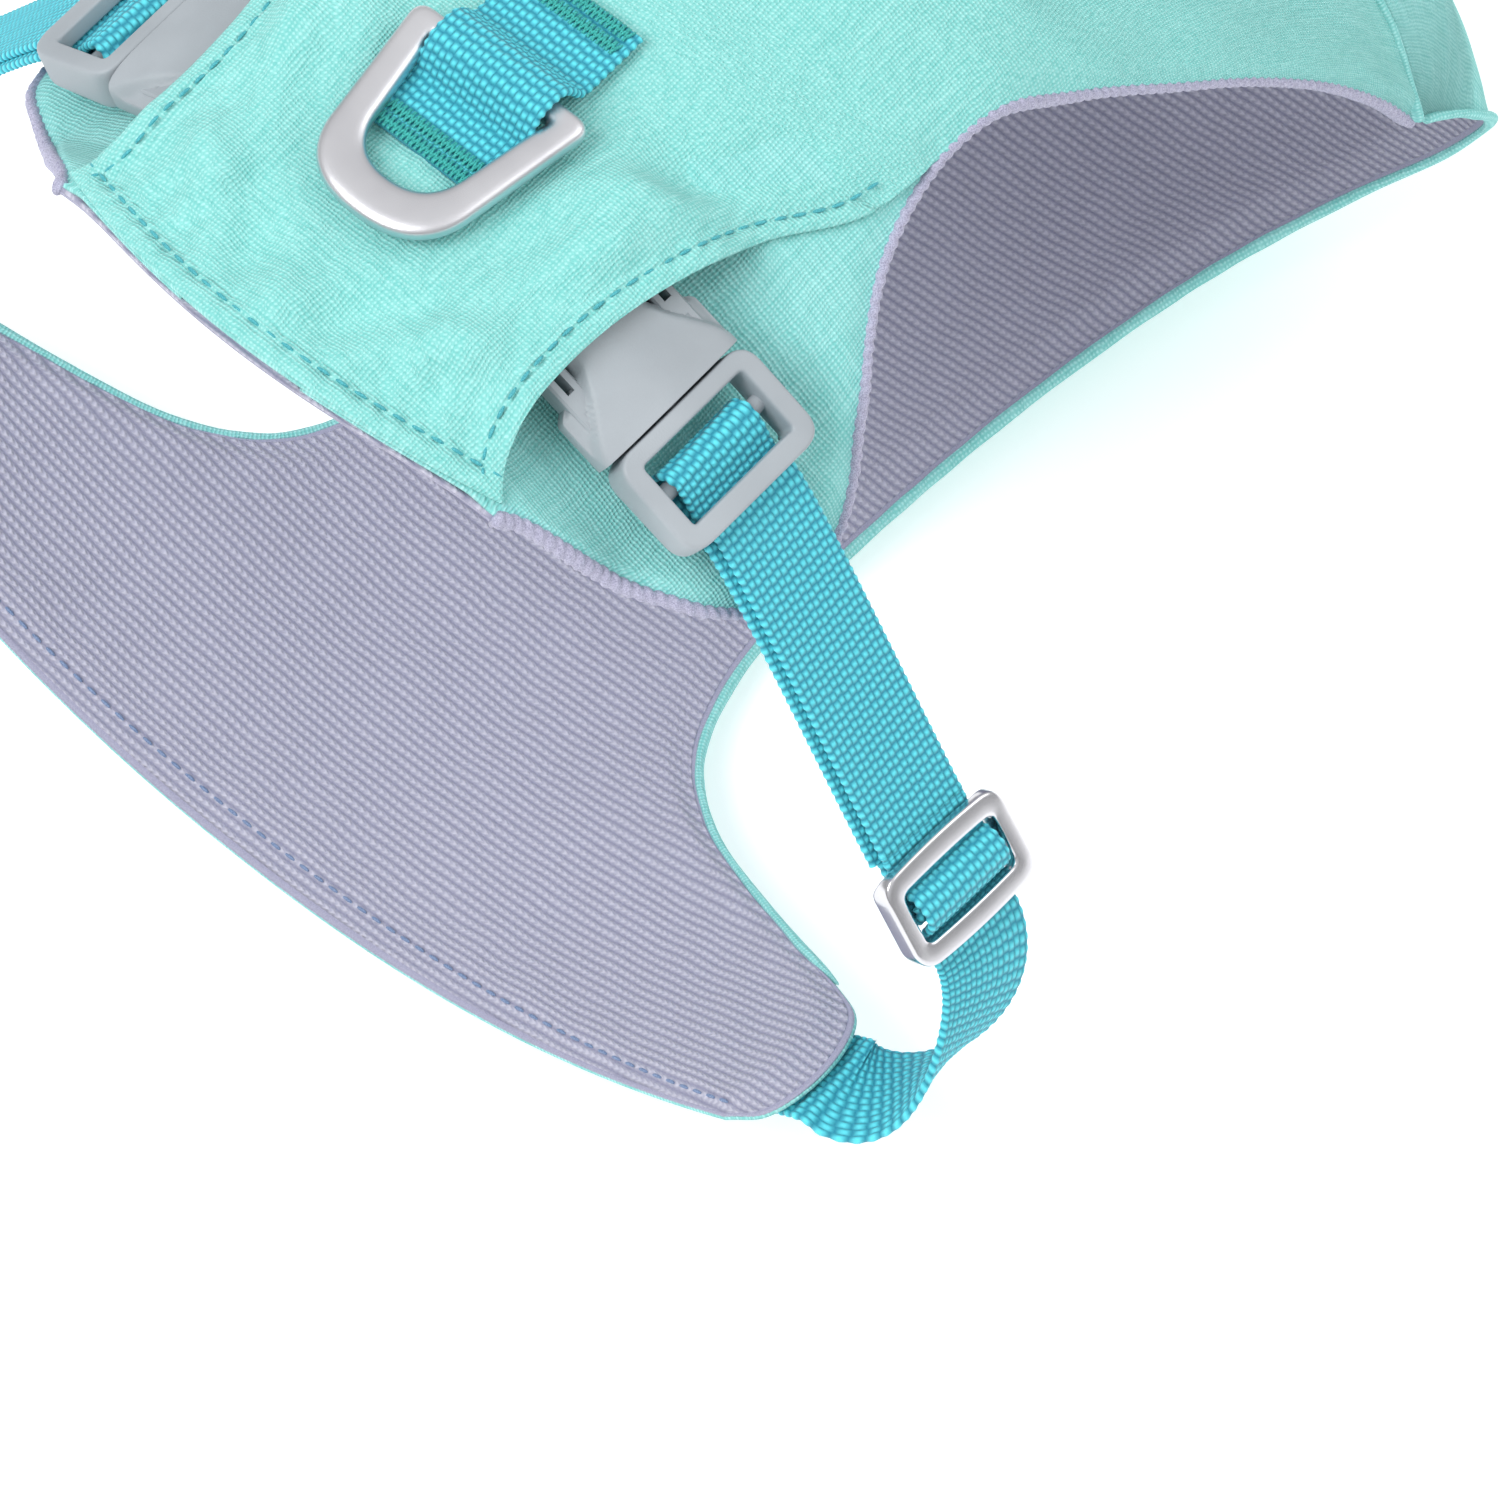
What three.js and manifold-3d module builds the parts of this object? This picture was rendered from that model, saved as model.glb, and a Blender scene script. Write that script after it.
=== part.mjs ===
// Dog harness vest: a padded back panel with buckle pockets, a padded chest panel,
// two shoulder arms round the neck, and one buckled, adjustable strap on each side.
//
// Millimetres. +X points to the head, +Y to the left side, +Z up.
// The model is drawn from the hem's middle point on the back and moved at the end,
// so that its origin is where the lining rests on the spine under the leash ring.

import * as THREE from 'three';
import { mergeVertices } from 'three/addons/utils/BufferGeometryUtils.js';
import Module from 'manifold-3d';

const wasm = await Module();
wasm.setup();

// ---------------------------------------------------------------- driving dimensions

const BACK_LENGTH = 135;         // hem to the neck edge along the spine
const BACK_RADIUS = 97;          // arch of the back across the ribs
const TORSO_DEPTH = 172;         // top of the back to the underside of the belly panel
const WING_SPAN = 119;           // middle plane to the tip of a belly wing
const SEAT_X = 62;               // hem to the origin along the spine

const CANVAS = 0.8;              // outer cloth
const PADDING = 2.6;             // foam
const KNIT = 0.9;                // lining
const GAP = 0.3;                 // clearance between sewn layers and touching pieces
const BINDING_WIDTH = 2.2;       // edge binding, measured away from the edge
const BINDING_GAP = 0.8;         // from a panel's edge to its binding

const RING_BEFORE_SEAT = 3;      // hinge line of the leash ring, in front of the origin
const RING_LENGTH = 36;          // bar line to the end of the bow
const RING_NARROWING = 4;        // how much each arm has closed in at the bow's corner
const RING_THICKNESS = 4;
const RING_ARM = 5.5;            // width of an arm seen from above
const RING_BOW = 8.5;            // width of the bow seen from above
const RING_WEBBING = 25;         // width of the loop that holds the ring
const RING_ROOM = 1.5;           // between that loop and each arm
const RING_LOOP_FRONT = 22;      // from the ring bar to the front end of its loop
const RING_LOOP_REAR = 19;       // from the ring bar to the rear end of its loop

const WEBBING = 20;              // width of the side straps
const WEBBING_THICKNESS = 1.5;
const PLY_GAP = 0.4;             // between two plies that lie together

const BUCKLE_OUT = 55;           // middle plane to the buckle's parting line
const BUCKLE_THICKNESS = 9.6;
const BUCKLE_CLEARANCE = 0.7;    // lift of the parting line off the arch of the back
const SOCKET_LENGTH = 31;
const COLLAR_LENGTH = 11;        // full-width part of the socket at the parting line
const SOCKET_WALL = 1.5;         // side walls of the socket
const SOCKET_PLATE = 1.7;        // upper and lower plates of the socket
const SOCKET_BAR = 2.4;          // bar that the anchor webbing goes round
const SOCKET_BAR_THICKNESS = 3.2;
const CLIP_LENGTH = 21;
const CLIP_RAIL = 4;             // width of the clip's sides and outer bar
const CLIP_ROOM = 2.3;           // between the strap and each side of the clip
const CLIP_INSET = 0.2;          // step from the socket's side to the clip's side
const CLIP_BAR = 1.6;            // radius of the bar that carries the strap
const CLIP_BAR_PLACE = 10;       // parting line to that bar
const PRONG_LENGTH = 22;
const PRONG_WIDTH = 4.6;
const PRONG_THICKNESS = 5;
const RUN = 0.4;                 // running clearance of the clip at the parting line
const PRONG_ROOM = 0.6;          // clearance beside a prong

const ADJUSTER_ABOVE_BELLY = 76; // adjuster's middle bar above the underside of the belly
const ADJUSTER_OVERHANG = 2;     // adjuster beyond the wing tip
const ADJUSTER_LENGTH = 19;
const ADJUSTER_RAIL = 3;         // width of its rails and outer bars
const ADJUSTER_ROOM = 1.5;       // between the strap and each rail
const ADJUSTER_PIN = 1.4;        // radius of its middle bar
const LOOP_SAG = 13;             // how far the slack strap hangs beside the wing tip

// Sizes that follow from those.
const PLY = WEBBING_THICKNESS + PLY_GAP;
const RING_BAR_X = SEAT_X + RING_BEFORE_SEAT;
const RING_HALF_WIDTH = RING_WEBBING / 2 + RING_ROOM + RING_ARM;
const BUCKLE_WIDTH = WEBBING + 2 * (CLIP_ROOM + CLIP_RAIL + CLIP_INSET);
const ADJUSTER_WIDTH = WEBBING + 2 * (ADJUSTER_ROOM + ADJUSTER_RAIL);
const ADJUSTER_OUT = WING_SPAN + ADJUSTER_OVERHANG;
const ADJUSTER_DROP = TORSO_DEPTH - ADJUSTER_ABOVE_BELLY;
const DIP = BUCKLE_THICKNESS / 2 + 2.2;    // room pressed into the padding under a buckle
const HUMP = BUCKLE_THICKNESS / 2 + 1;     // rise of the cover over a buckle

// ---------------------------------------------------------------- materials

const finish = (color, roughness, metalness = 0) =>
  new THREE.MeshStandardMaterial({ color, roughness, metalness });
const MINT = finish(0x8febdd, 0.85);
const MINT_SHADE = finish(0x7fdac9, 0.85);
const LAVENDER = finish(0xb3b4cc, 0.95);
const FOAM = finish(0xd9dbe2, 1.0);
const TEAL = finish(0x3db7c9, 0.8);
const THREAD = finish(0x12a391, 0.8);
const GREY_PLASTIC = finish(0xa3a9ad, 0.55);
const SATIN_METAL = finish(0xd6d6da, 0.4, 1.0);
const BRIGHT_METAL = finish(0xe4e4e6, 0.12, 1.0);

// ---------------------------------------------------------------- mesh tools

const vec = (x, y, z) => new THREE.Vector3(x, y, z);

// A closed geometry from points and triangles, with its faces turned outwards.
function closedGeometry(points, faces) {
  const flat = points.flatMap((p) => [p.x, p.y, p.z]);
  const volume = faces.reduce((sum, [a, b, c]) => {
    const cross = points[b].clone().cross(points[c]);
    return sum + points[a].dot(cross);
  }, 0);
  const index = faces.flatMap(([a, b, c]) => (volume < 0 ? [a, c, b] : [a, b, c]));
  const geometry = new THREE.BufferGeometry();
  geometry.setAttribute('position', new THREE.Float32BufferAttribute(flat, 3));
  geometry.setIndex(index);
  geometry.computeVertexNormals();
  return geometry;
}

// A grid of points place(u, v) with u and v from 0 to 1.
function grid(rows, columns, place) {
  const points = [];
  const faces = [];
  for (let i = 0; i <= rows; i += 1) {
    for (let j = 0; j <= columns; j += 1) points.push(place(i / rows, j / columns));
  }
  for (let i = 0; i < rows; i += 1) {
    for (let j = 0; j < columns; j += 1) {
      const a = i * (columns + 1) + j;
      const b = a + columns + 1;
      faces.push([a, b, a + 1], [a + 1, b, b + 1]);
    }
  }
  return { points, faces };
}

// The same sheet with its outer side turned over.
const turnedOver = (sheet) => ({ ...sheet, faces: sheet.faces.map(([a, b, c]) => [a, c, b]) });

const mirrorImage = (p) => vec(p.x, -p.y, p.z);

// The sheet and its mirror image in the middle plane, sewn where they meet.
function bothHalves(sheet) {
  const points = [...sheet.points];
  const twin = sheet.points.map((p, i) => {
    if (Math.abs(p.y) < 1e-6) return i;
    points.push(vec(p.x, -p.y, p.z));
    return points.length - 1;
  });
  const mirrored = sheet.faces.map(([a, b, c]) => [twin[a], twin[c], twin[b]]);
  const faces = [...sheet.faces, ...mirrored];
  if (!sheet.normals) return { points, faces };
  const normals = [...sheet.normals];
  sheet.points.forEach((p, i) => {
    if (twin[i] !== i) normals[twin[i]] = mirrorImage(sheet.normals[i]);
  });
  return { points, faces, normals };
}

// The mirror image alone.
function otherHalf(sheet) {
  return {
    points: sheet.points.map(mirrorImage),
    faces: sheet.faces.map(([a, b, c]) => [a, c, b]),
    normals: sheet.normals && sheet.normals.map(mirrorImage),
  };
}

function sheetNormals(sheet) {
  if (sheet.normals) return sheet.normals;
  const normals = sheet.points.map(() => vec(0, 0, 0));
  for (const [a, b, c] of sheet.faces) {
    const along = sheet.points[b].clone().sub(sheet.points[a]);
    const normal = along.cross(sheet.points[c].clone().sub(sheet.points[a]));
    for (const k of [a, b, c]) normals[k].add(normal);
  }
  return normals.map((n) => n.normalize());
}

// A solid layer of the sheet, from depth to depth + thickness on its inner side.
function layer(sheet, depth, thickness) {
  const normals = sheetNormals(sheet);
  const shifted = (far) => sheet.points.map((p, i) => p.clone().addScaledVector(normals[i], -far));
  const count = sheet.points.length;
  const points = [...shifted(depth), ...shifted(depth + thickness)];
  const faces = [...sheet.faces];
  const open = new Map();
  for (const face of sheet.faces) {
    const [a, b, c] = face;
    faces.push([a + count, c + count, b + count]);
    for (const [p, q] of [[a, b], [b, c], [c, a]]) {
      if (!open.delete(`${q},${p}`)) open.set(`${p},${q}`, [p, q]);
    }
  }
  for (const [p, q] of open.values()) {
    faces.push([q, p, p + count], [q, p + count, q + count]);
  }
  return closedGeometry(points, faces);
}

// A flat strap: a rectangle carried along the points, its width held near the side
// direction, which is one vector or a list with one vector for each point.
function ribbon(points, side, width, thickness) {
  const corners = [];
  const last = points.length - 1;
  points.forEach((point, i) => {
    const before = points[Math.max(i - 1, 0)];
    const after = points[Math.min(i + 1, last)];
    const run = after.clone().sub(before).normalize();
    const wanted = Array.isArray(side) ? side[i] : side;
    const across = wanted.clone().addScaledVector(run, -wanted.dot(run)).normalize();
    const face = run.clone().cross(across);
    for (const [s, t] of [[-1, -1], [1, -1], [1, 1], [-1, 1]]) {
      const corner = point.clone().addScaledVector(across, (s * width) / 2);
      corners.push(corner.addScaledVector(face, (t * thickness) / 2));
    }
  });
  const faces = [[0, 2, 1], [0, 3, 2]];
  for (let i = 0; i < last; i += 1) {
    for (let k = 0; k < 4; k += 1) {
      const a = 4 * i + k;
      const b = 4 * i + ((k + 1) % 4);
      faces.push([a, b, a + 4], [b, b + 4, a + 4]);
    }
  }
  const end = 4 * last;
  faces.push([end, end + 1, end + 2], [end, end + 2, end + 3]);
  return closedGeometry(corners, faces);
}

function toManifold(geometry) {
  const bare = geometry.clone();
  bare.deleteAttribute('normal');
  bare.deleteAttribute('uv');
  const merged = mergeVertices(bare, 1e-5);
  return new wasm.Manifold(new wasm.Mesh({
    numProp: 3,
    vertProperties: merged.attributes.position.array,
    triVerts: Uint32Array.from(merged.index.array),
  }));
}

function fromManifold(solid) {
  const mesh = solid.getMesh();
  const geometry = new THREE.BufferGeometry();
  geometry.setAttribute('position', new THREE.BufferAttribute(mesh.vertProperties, 3));
  geometry.setIndex(new THREE.BufferAttribute(mesh.triVerts, 1));
  geometry.computeVertexNormals();
  return geometry;
}

function join(...geometries) {
  return fromManifold(geometries.map(toManifold).reduce((a, b) => a.add(b)));
}

function cut(geometry, ...tools) {
  return fromManifold(tools.map(toManifold).reduce((a, b) => a.subtract(b), toManifold(geometry)));
}

// A box between two corners.
function block(low, high) {
  const size = high.map((v, k) => v - low[k]);
  const centre = high.map((v, k) => (v + low[k]) / 2);
  return new THREE.BoxGeometry(...size).translate(...centre);
}

// A round bar along the first local axis.
function crossBar(length, radius, along, height) {
  return new THREE.CylinderGeometry(radius, radius, length, 12)
    .rotateZ(Math.PI / 2)
    .translate(0, along, height);
}

// A closed smooth outline in a plane, extruded upwards from a height.
function plate(outline, thickness, base, bevel) {
  const geometry = new THREE.ExtrudeGeometry(outline, {
    depth: thickness - 2 * bevel,
    bevelEnabled: bevel > 0,
    bevelThickness: bevel,
    bevelSize: bevel,
    bevelOffset: -bevel,
    bevelSegments: 1,
    curveSegments: 8,
  });
  return geometry.translate(0, 0, base + bevel);
}

// ---------------------------------------------------------------- shape of the panels

// The outlines below were laid out on a back 135 long, a torso 172 deep and wings 119 out.
const stretchX = BACK_LENGTH / 135;
const stretchZ = TORSO_DEPTH / 172;
const stretchY = WING_SPAN / 119;
const BUCKLE_X = 45 * stretchX;            // middle of the flap
const ADJUSTER_X = BUCKLE_X - 4;

const archDrop = (y) => BACK_RADIUS - Math.sqrt(BACK_RADIUS ** 2 - y ** 2);

// Smooth 0 to 1 step between two values.
function ramp(value, from, to) {
  const t = Math.min(1, Math.max(0, (value - from) / (to - from)));
  return t * t * (3 - 2 * t);
}

// 1 over a buckle and 0 away from it.
function overBuckle(x, y, inner, outer) {
  const half = BUCKLE_WIDTH / 2;
  const alongX = 1 - ramp(Math.abs(x - BUCKLE_X), half + 2, half + 17);
  const fromSpine = ramp(Math.abs(y), inner, inner + 14);
  const toEdge = 1 - ramp(Math.abs(y), outer, outer + 14);
  return alongX * fromSpine * toEdge;
}

// Moves a point of the back along the arch's own normal.
function lifted(point, amount) {
  const tilt = Math.min(0.9, Math.abs(point.y) / BACK_RADIUS);
  const outward = vec(0, Math.sign(point.y) * tilt, Math.sqrt(1 - tilt * tilt));
  return point.addScaledVector(outward, amount);
}

// A rib is a pair of points: one near the middle plane, one at the outer edge.
const spineRib = (x, edgeX, edgeY) => [
  vec(x * stretchX, 0, 0),
  vec(edgeX * stretchX, edgeY, -archDrop(edgeY)),
];
const neckRib = (a, b) => [
  vec(a[0] * stretchX, a[1], a[2] * stretchZ),
  vec(b[0] * stretchX, b[1], b[2] * stretchZ),
];
const bellyRib = (a, b) => [
  vec(a[0] * stretchX, a[1], a[2] * stretchZ),
  vec(b[0] * stretchX, b[1] * stretchY, b[2] * stretchZ),
];

// From the last row that reaches the spine, both arms run forward round the neck.
const armRibs = [
  neckRib([135, 0, 0], [145, 62, -32]),
  neckRib([142, 13, -2.5], [163, 68, -46]),
  neckRib([156, 25, -10], [181, 73, -61]),
  neckRib([176, 35, -25], [197, 77, -78]),
  neckRib([198, 43, -45], [209, 80, -95]),
  neckRib([217, 50, -66], [216, 82, -108]),
];

// The pad and lining reach out to the flap that carries the buckle.
const underRibs = [
  spineRib(0, 11, 48.5), spineRib(9, 19, 62.5), spineRib(19, 27, 75), spineRib(31, 37, 82),
  spineRib(45, 49, 84), spineRib(58, 60, 82), spineRib(71, 72, 75), spineRib(88, 92, 62.5),
  spineRib(106, 112, 57.5), spineRib(122, 128, 58.5), ...armRibs,
];

// The cover stops at the pocket mouth and hides the rest of the buckle.
const coverRibs = [
  spineRib(0, 11, 48.5), spineRib(9, 16, 44.5), spineRib(19, 23, 41.5), spineRib(31, 33, 40.5),
  spineRib(45, 46, 41), spineRib(58, 61, 43.5), spineRib(71, 77, 48), spineRib(88, 94, 55.5),
  spineRib(106, 112, 57.5), spineRib(122, 128, 58.5), ...armRibs,
];

// Belly wings, the waist between the legs, then the bib and its two arms.
const chestRibs = [
  bellyRib([-8, 0, -172], [-3, 110, -139.5]), bellyRib([-2, 0, -172], [0.5, 116, -136]),
  bellyRib([6, 0, -172], [8, 119, -134]), bellyRib([14, 0, -172], [18, 119, -133.5]),
  bellyRib([21, 0, -172], [25, 116, -134.5]), bellyRib([28, 0, -172], [29.5, 108, -138.5]),
  bellyRib([35, 0, -172], [34, 94, -145.5]), bellyRib([42, 0, -172], [40, 77, -154]),
  bellyRib([50, 0, -172], [47, 62, -160.5]), bellyRib([61, 0, -172], [58, 50, -165]),
  bellyRib([77, 0, -172], [76, 43, -167.5]), bellyRib([98, 0, -172], [98, 41.5, -167.5]),
  bellyRib([122, 0, -171.5], [124, 43.5, -165]), bellyRib([150, 0, -169.5], [156, 49, -160]),
  bellyRib([180, 0, -164], [188, 58, -153]), bellyRib([206, 0, -154], [213, 69, -145.5]),
  bellyRib([228, 0, -139], [229, 79, -137]), bellyRib([244, 0, -121], [235, 84, -128]),
  bellyRib([253, 0, -102], [233, 86, -120.5]), bellyRib([256, 0, -88], [229, 86, -115.5]),
  bellyRib([253, 17, -83.5], [225.5, 85, -112.3]), bellyRib([244, 33, -77], [222, 84, -110.2]),
  bellyRib([231, 44, -71], [219, 83, -109]), bellyRib([217.5, 50.2, -66.6], [216.6, 82.2, -108.5]),
];

// Runs smoothly through the inner and the outer points of the ribs.
function ribSurface(ribs, rise) {
  const inner = new THREE.CatmullRomCurve3(ribs.map((r) => r[0]), false, 'centripetal');
  const outer = new THREE.CatmullRomCurve3(ribs.map((r) => r[1]), false, 'centripetal');
  return (u, v) => {
    const a = inner.getPoint(u);
    const b = outer.getPoint(u);
    return vec(a.x + (b.x - a.x) * v * v, a.y + (b.y - a.y) * v, a.z + (b.z - a.z) * rise(v, a, b));
  };
}

// Across the back a row follows a circle.
function circleRise(v, a, b) {
  const end = Math.min(0.9, b.y / BACK_RADIUS);
  const drop = (k) => 1 - Math.sqrt(1 - k * k);
  return drop(end * v) / drop(end);
}

const bellyRise = (v) => v ** 2.2;

const coverSurface = ribSurface(coverRibs, circleRise);
const underSurface = ribSurface(underRibs, circleRise);
const chestSurface = ribSurface(chestRibs, bellyRise);

const raisedCover = (u, v) => {
  const point = coverSurface(u, v);
  return lifted(point, HUMP * overBuckle(point.x, point.y, 16, 70));
};
const pressed = (surface) => (u, v) => {
  const point = surface(u, v);
  return lifted(point, -DIP * overBuckle(point.x, point.y, 2, 66));
};

// A band that runs beside one edge column of a half sheet, a gap away from it and square to it.
function edgeBand(sheet, columns, edge, firstRow = 0) {
  const rows = sheet.points.length / (columns + 1) - 1;
  const at = (i, j) => sheet.points[i * (columns + 1) + j];
  const far = edge === 0 ? 0 : columns;
  const near = edge === 0 ? 1 : columns - 1;
  const sheetNormal = sheetNormals(sheet);
  const points = [];
  const normals = [];
  for (let i = firstRow; i <= rows; i += 1) {
    const point = at(i, far);
    const run = at(Math.min(rows, i + 1), far).clone().sub(at(Math.max(firstRow, i - 1), far));
    const normal = sheetNormal[i * (columns + 1) + far];
    const outward = run.cross(normal).normalize();
    if (outward.dot(at(i, near).clone().sub(point)) > 0) outward.negate();
    for (const reach of [BINDING_GAP, BINDING_GAP + BINDING_WIDTH]) {
      const moved = point.clone().addScaledVector(outward, reach);
      if (Math.abs(point.y) < 1e-6) moved.y = 0;
      points.push(moved);
      normals.push(normal);
    }
  }
  const faces = [];
  for (let i = 0; i < rows - firstRow; i += 1) {
    const corner = 2 * i;
    faces.push([corner, corner + 2, corner + 1], [corner + 1, corner + 2, corner + 3]);
  }
  if (edge === 0) faces.forEach((face) => face.reverse());
  return { points, faces, normals };
}

// The part of a surface between two rows and two columns.
const part = (surface, u0, u1, v0, v1) => (u, v) => surface(u0 + (u1 - u0) * u, v0 + (v1 - v0) * v);

const COVER_DEPTH = 0;
const FLAP_DEPTH = COVER_DEPTH + CANVAS + GAP;
const PAD_DEPTH = FLAP_DEPTH + CANVAS + GAP;
const LINING_DEPTH = PAD_DEPTH + PADDING + GAP;
const CHEST_PAD_DEPTH = CANVAS + GAP;
const CHEST_LINING_DEPTH = CHEST_PAD_DEPTH + PADDING + GAP;
const BACK_STACK = LINING_DEPTH + KNIT;
const CHEST_STACK = CHEST_LINING_DEPTH + KNIT;

// ---------------------------------------------------------------- the model

const harness = new THREE.Group();
harness.position.set(-SEAT_X, 0, BACK_STACK);

function piece(name, geometry, material, parent = harness) {
  const mesh = new THREE.Mesh(geometry, material);
  mesh.name = name;
  parent.add(mesh);
  return mesh;
}

const SIDES = [['right', -1], ['left', 1]];
const forSide = (sheet, sign) => (sign > 0 ? sheet : otherHalf(sheet));

const ROWS = underRibs.length - 1;
const COLUMNS = 7;
const FLAP_ROWS = 7;
const FLAP_COLUMNS = 5;
const SPINE_ROWS = underRibs.length - armRibs.length;

function backPanel() {
  const cover = bothHalves(grid(ROWS, COLUMNS - 1, raisedCover));
  const surface = pressed(underSurface);
  const underHalf = grid(ROWS, COLUMNS, surface);
  const under = bothHalves(underHalf);
  piece('back_cover', layer(cover, 0, CANVAS), MINT);
  piece('back_padding', layer(under, PAD_DEPTH, PADDING), FOAM);
  piece('back_lining', layer(under, LINING_DEPTH, KNIT), LAVENDER);
  const flapInside = 1 - FLAP_COLUMNS / COLUMNS;
  const flap = grid(FLAP_ROWS, FLAP_COLUMNS, part(surface, 0, FLAP_ROWS / ROWS, flapInside, 1));
  const edge = edgeBand(underHalf, COLUMNS, 1);
  for (const [side, sign] of SIDES) {
    piece(`flap_cover_${side}`, layer(forSide(flap, sign), FLAP_DEPTH, CANVAS), MINT_SHADE);
    const binding = layer(forSide(edge, sign), FLAP_DEPTH, BACK_STACK - FLAP_DEPTH);
    piece(`back_binding_${side}`, binding, LAVENDER);
  }
  const neck = bothHalves(edgeBand(underHalf, COLUMNS, 0, SPINE_ROWS));
  piece('neck_binding_back', layer(neck, 0, BACK_STACK), LAVENDER);
}

const CHEST_COLUMNS = 6;
const WING_TIP_ROWS = 5;

function chestPanel() {
  const rows = chestRibs.length - 1;
  const half = turnedOver(grid(rows, CHEST_COLUMNS, chestSurface));
  const sheet = bothHalves(half);
  piece('chest_cover', layer(sheet, 0, CANVAS), MINT);
  piece('chest_padding', layer(sheet, CHEST_PAD_DEPTH, PADDING), FOAM);
  piece('chest_lining', layer(sheet, CHEST_LINING_DEPTH, KNIT), LAVENDER);
  const edge = edgeBand(half, CHEST_COLUMNS, 1, WING_TIP_ROWS);
  for (const [side, sign] of SIDES) {
    piece(`chest_binding_${side}`, layer(forSide(edge, sign), 0, CHEST_STACK), LAVENDER);
  }
}

// ---------------------------------------------------------------- leash ring

// The ring lies on the edges of its webbing loop.
const RING_LIFT = 2 * GAP + WEBBING_THICKNESS + RING_THICKNESS / 2;
const RING_CORNER = 5;

// A rounded trapezoid: wide at the bar, narrower at the bow.
function trapezoid(bar, halfWidth, narrowing, bow, corner, round) {
  const shape = new THREE.Shape();
  shape.moveTo(bar, 0);
  shape.lineTo(bar, halfWidth - corner);
  shape.quadraticCurveTo(bar, halfWidth, bar - corner, halfWidth - narrowing * 0.15);
  shape.lineTo(bow + round, halfWidth - narrowing);
  shape.quadraticCurveTo(bow, halfWidth - narrowing * 1.4, bow, 0);
  shape.quadraticCurveTo(bow, narrowing * 1.4 - halfWidth, bow + round, narrowing - halfWidth);
  shape.lineTo(bar - corner, narrowing * 0.15 - halfWidth);
  shape.quadraticCurveTo(bar, -halfWidth, bar, corner - halfWidth);
  shape.closePath();
  return shape;
}

function leashRing() {
  const barHalf = RING_THICKNESS / 2;
  const outline = trapezoid(barHalf, RING_HALF_WIDTH, RING_NARROWING, -RING_LENGTH, RING_CORNER, 12);
  const inside = RING_HALF_WIDTH - RING_ARM;
  const bowInside = RING_BOW - RING_LENGTH;
  outline.holes.push(trapezoid(-barHalf, inside, RING_NARROWING, bowInside, 2, 9));
  const ring = piece('leash_ring', plate(outline, RING_THICKNESS, -barHalf, 1.1), SATIN_METAL);
  ring.position.set(RING_BAR_X, 0, RING_LIFT);

  const flat = GAP + WEBBING_THICKNESS / 2;
  const over = RING_LIFT + barHalf + flat + 0.3;
  const rise = over - flat;
  const front = RING_BAR_X + RING_LOOP_FRONT;
  const rear = RING_BAR_X - RING_LOOP_REAR;
  const route = [
    [front, 0], [RING_BAR_X + 8.7, 0], [RING_BAR_X + 6.9, 0.12], [RING_BAR_X + 5, 0.62],
    [RING_BAR_X + 2.6, 1], [RING_BAR_X - 2.6, 1], [RING_BAR_X - 5, 0.62], [RING_BAR_X - 6.9, 0.12], [RING_BAR_X - 8.7, 0],
    [rear, 0],
  ].map(([x, share]) => vec(x, 0, flat + rise * share));
  piece('ring_webbing', ribbon(route, vec(0, 1, 0), RING_WEBBING, WEBBING_THICKNESS), TEAL);
  const tackBase = flat + WEBBING_THICKNESS / 2 + GAP;
  for (const [end, x] of [['front', front - 3], ['rear', rear + 3]]) {
    const half = RING_WEBBING / 2 - 3.5;
    piece(`ring_tack_${end}`, block([x - 1.4, -half, tackBase], [x + 1.4, half, tackBase + 0.6]), THREAD);
  }
}

// ---------------------------------------------------------------- buckles

// The buckle leans as the back does under the middle of its socket.
const slope = Math.asin((BUCKLE_OUT - 12.5) / BACK_RADIUS);
const BUCKLE_DROP = archDrop(BUCKLE_OUT) + BUCKLE_CLEARANCE;

// The buckle's own axes on one side: along points out and down, up points off the back.
function buckleAxes(sign) {
  return {
    origin: vec(BUCKLE_X, sign * BUCKLE_OUT, -BUCKLE_DROP),
    along: vec(0, sign * Math.cos(slope), -Math.sin(slope)),
    up: vec(0, sign * Math.sin(slope), Math.cos(slope)),
  };
}

// A point given by its distance along and up a set of axes.
const onAxes = (axes, along, up) =>
  axes.origin.clone().addScaledVector(axes.along, along).addScaledVector(axes.up, up);

function seat(mesh, axes) {
  const across = axes.along.clone().cross(axes.up);
  mesh.quaternion.setFromRotationMatrix(new THREE.Matrix4().makeBasis(across, axes.along, axes.up));
  mesh.position.copy(axes.origin);
}

const CAVITY_HALF = BUCKLE_WIDTH / 2 - SOCKET_WALL;
const CAVITY_UP = BUCKLE_THICKNESS / 2 - SOCKET_PLATE;
const CAVITY_DEPTH = PRONG_LENGTH + 2;
const BAR_SLOT = 3.2;
const PRONG_MIDDLE = CAVITY_HALF - PRONG_ROOM - PRONG_WIDTH / 2;

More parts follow.
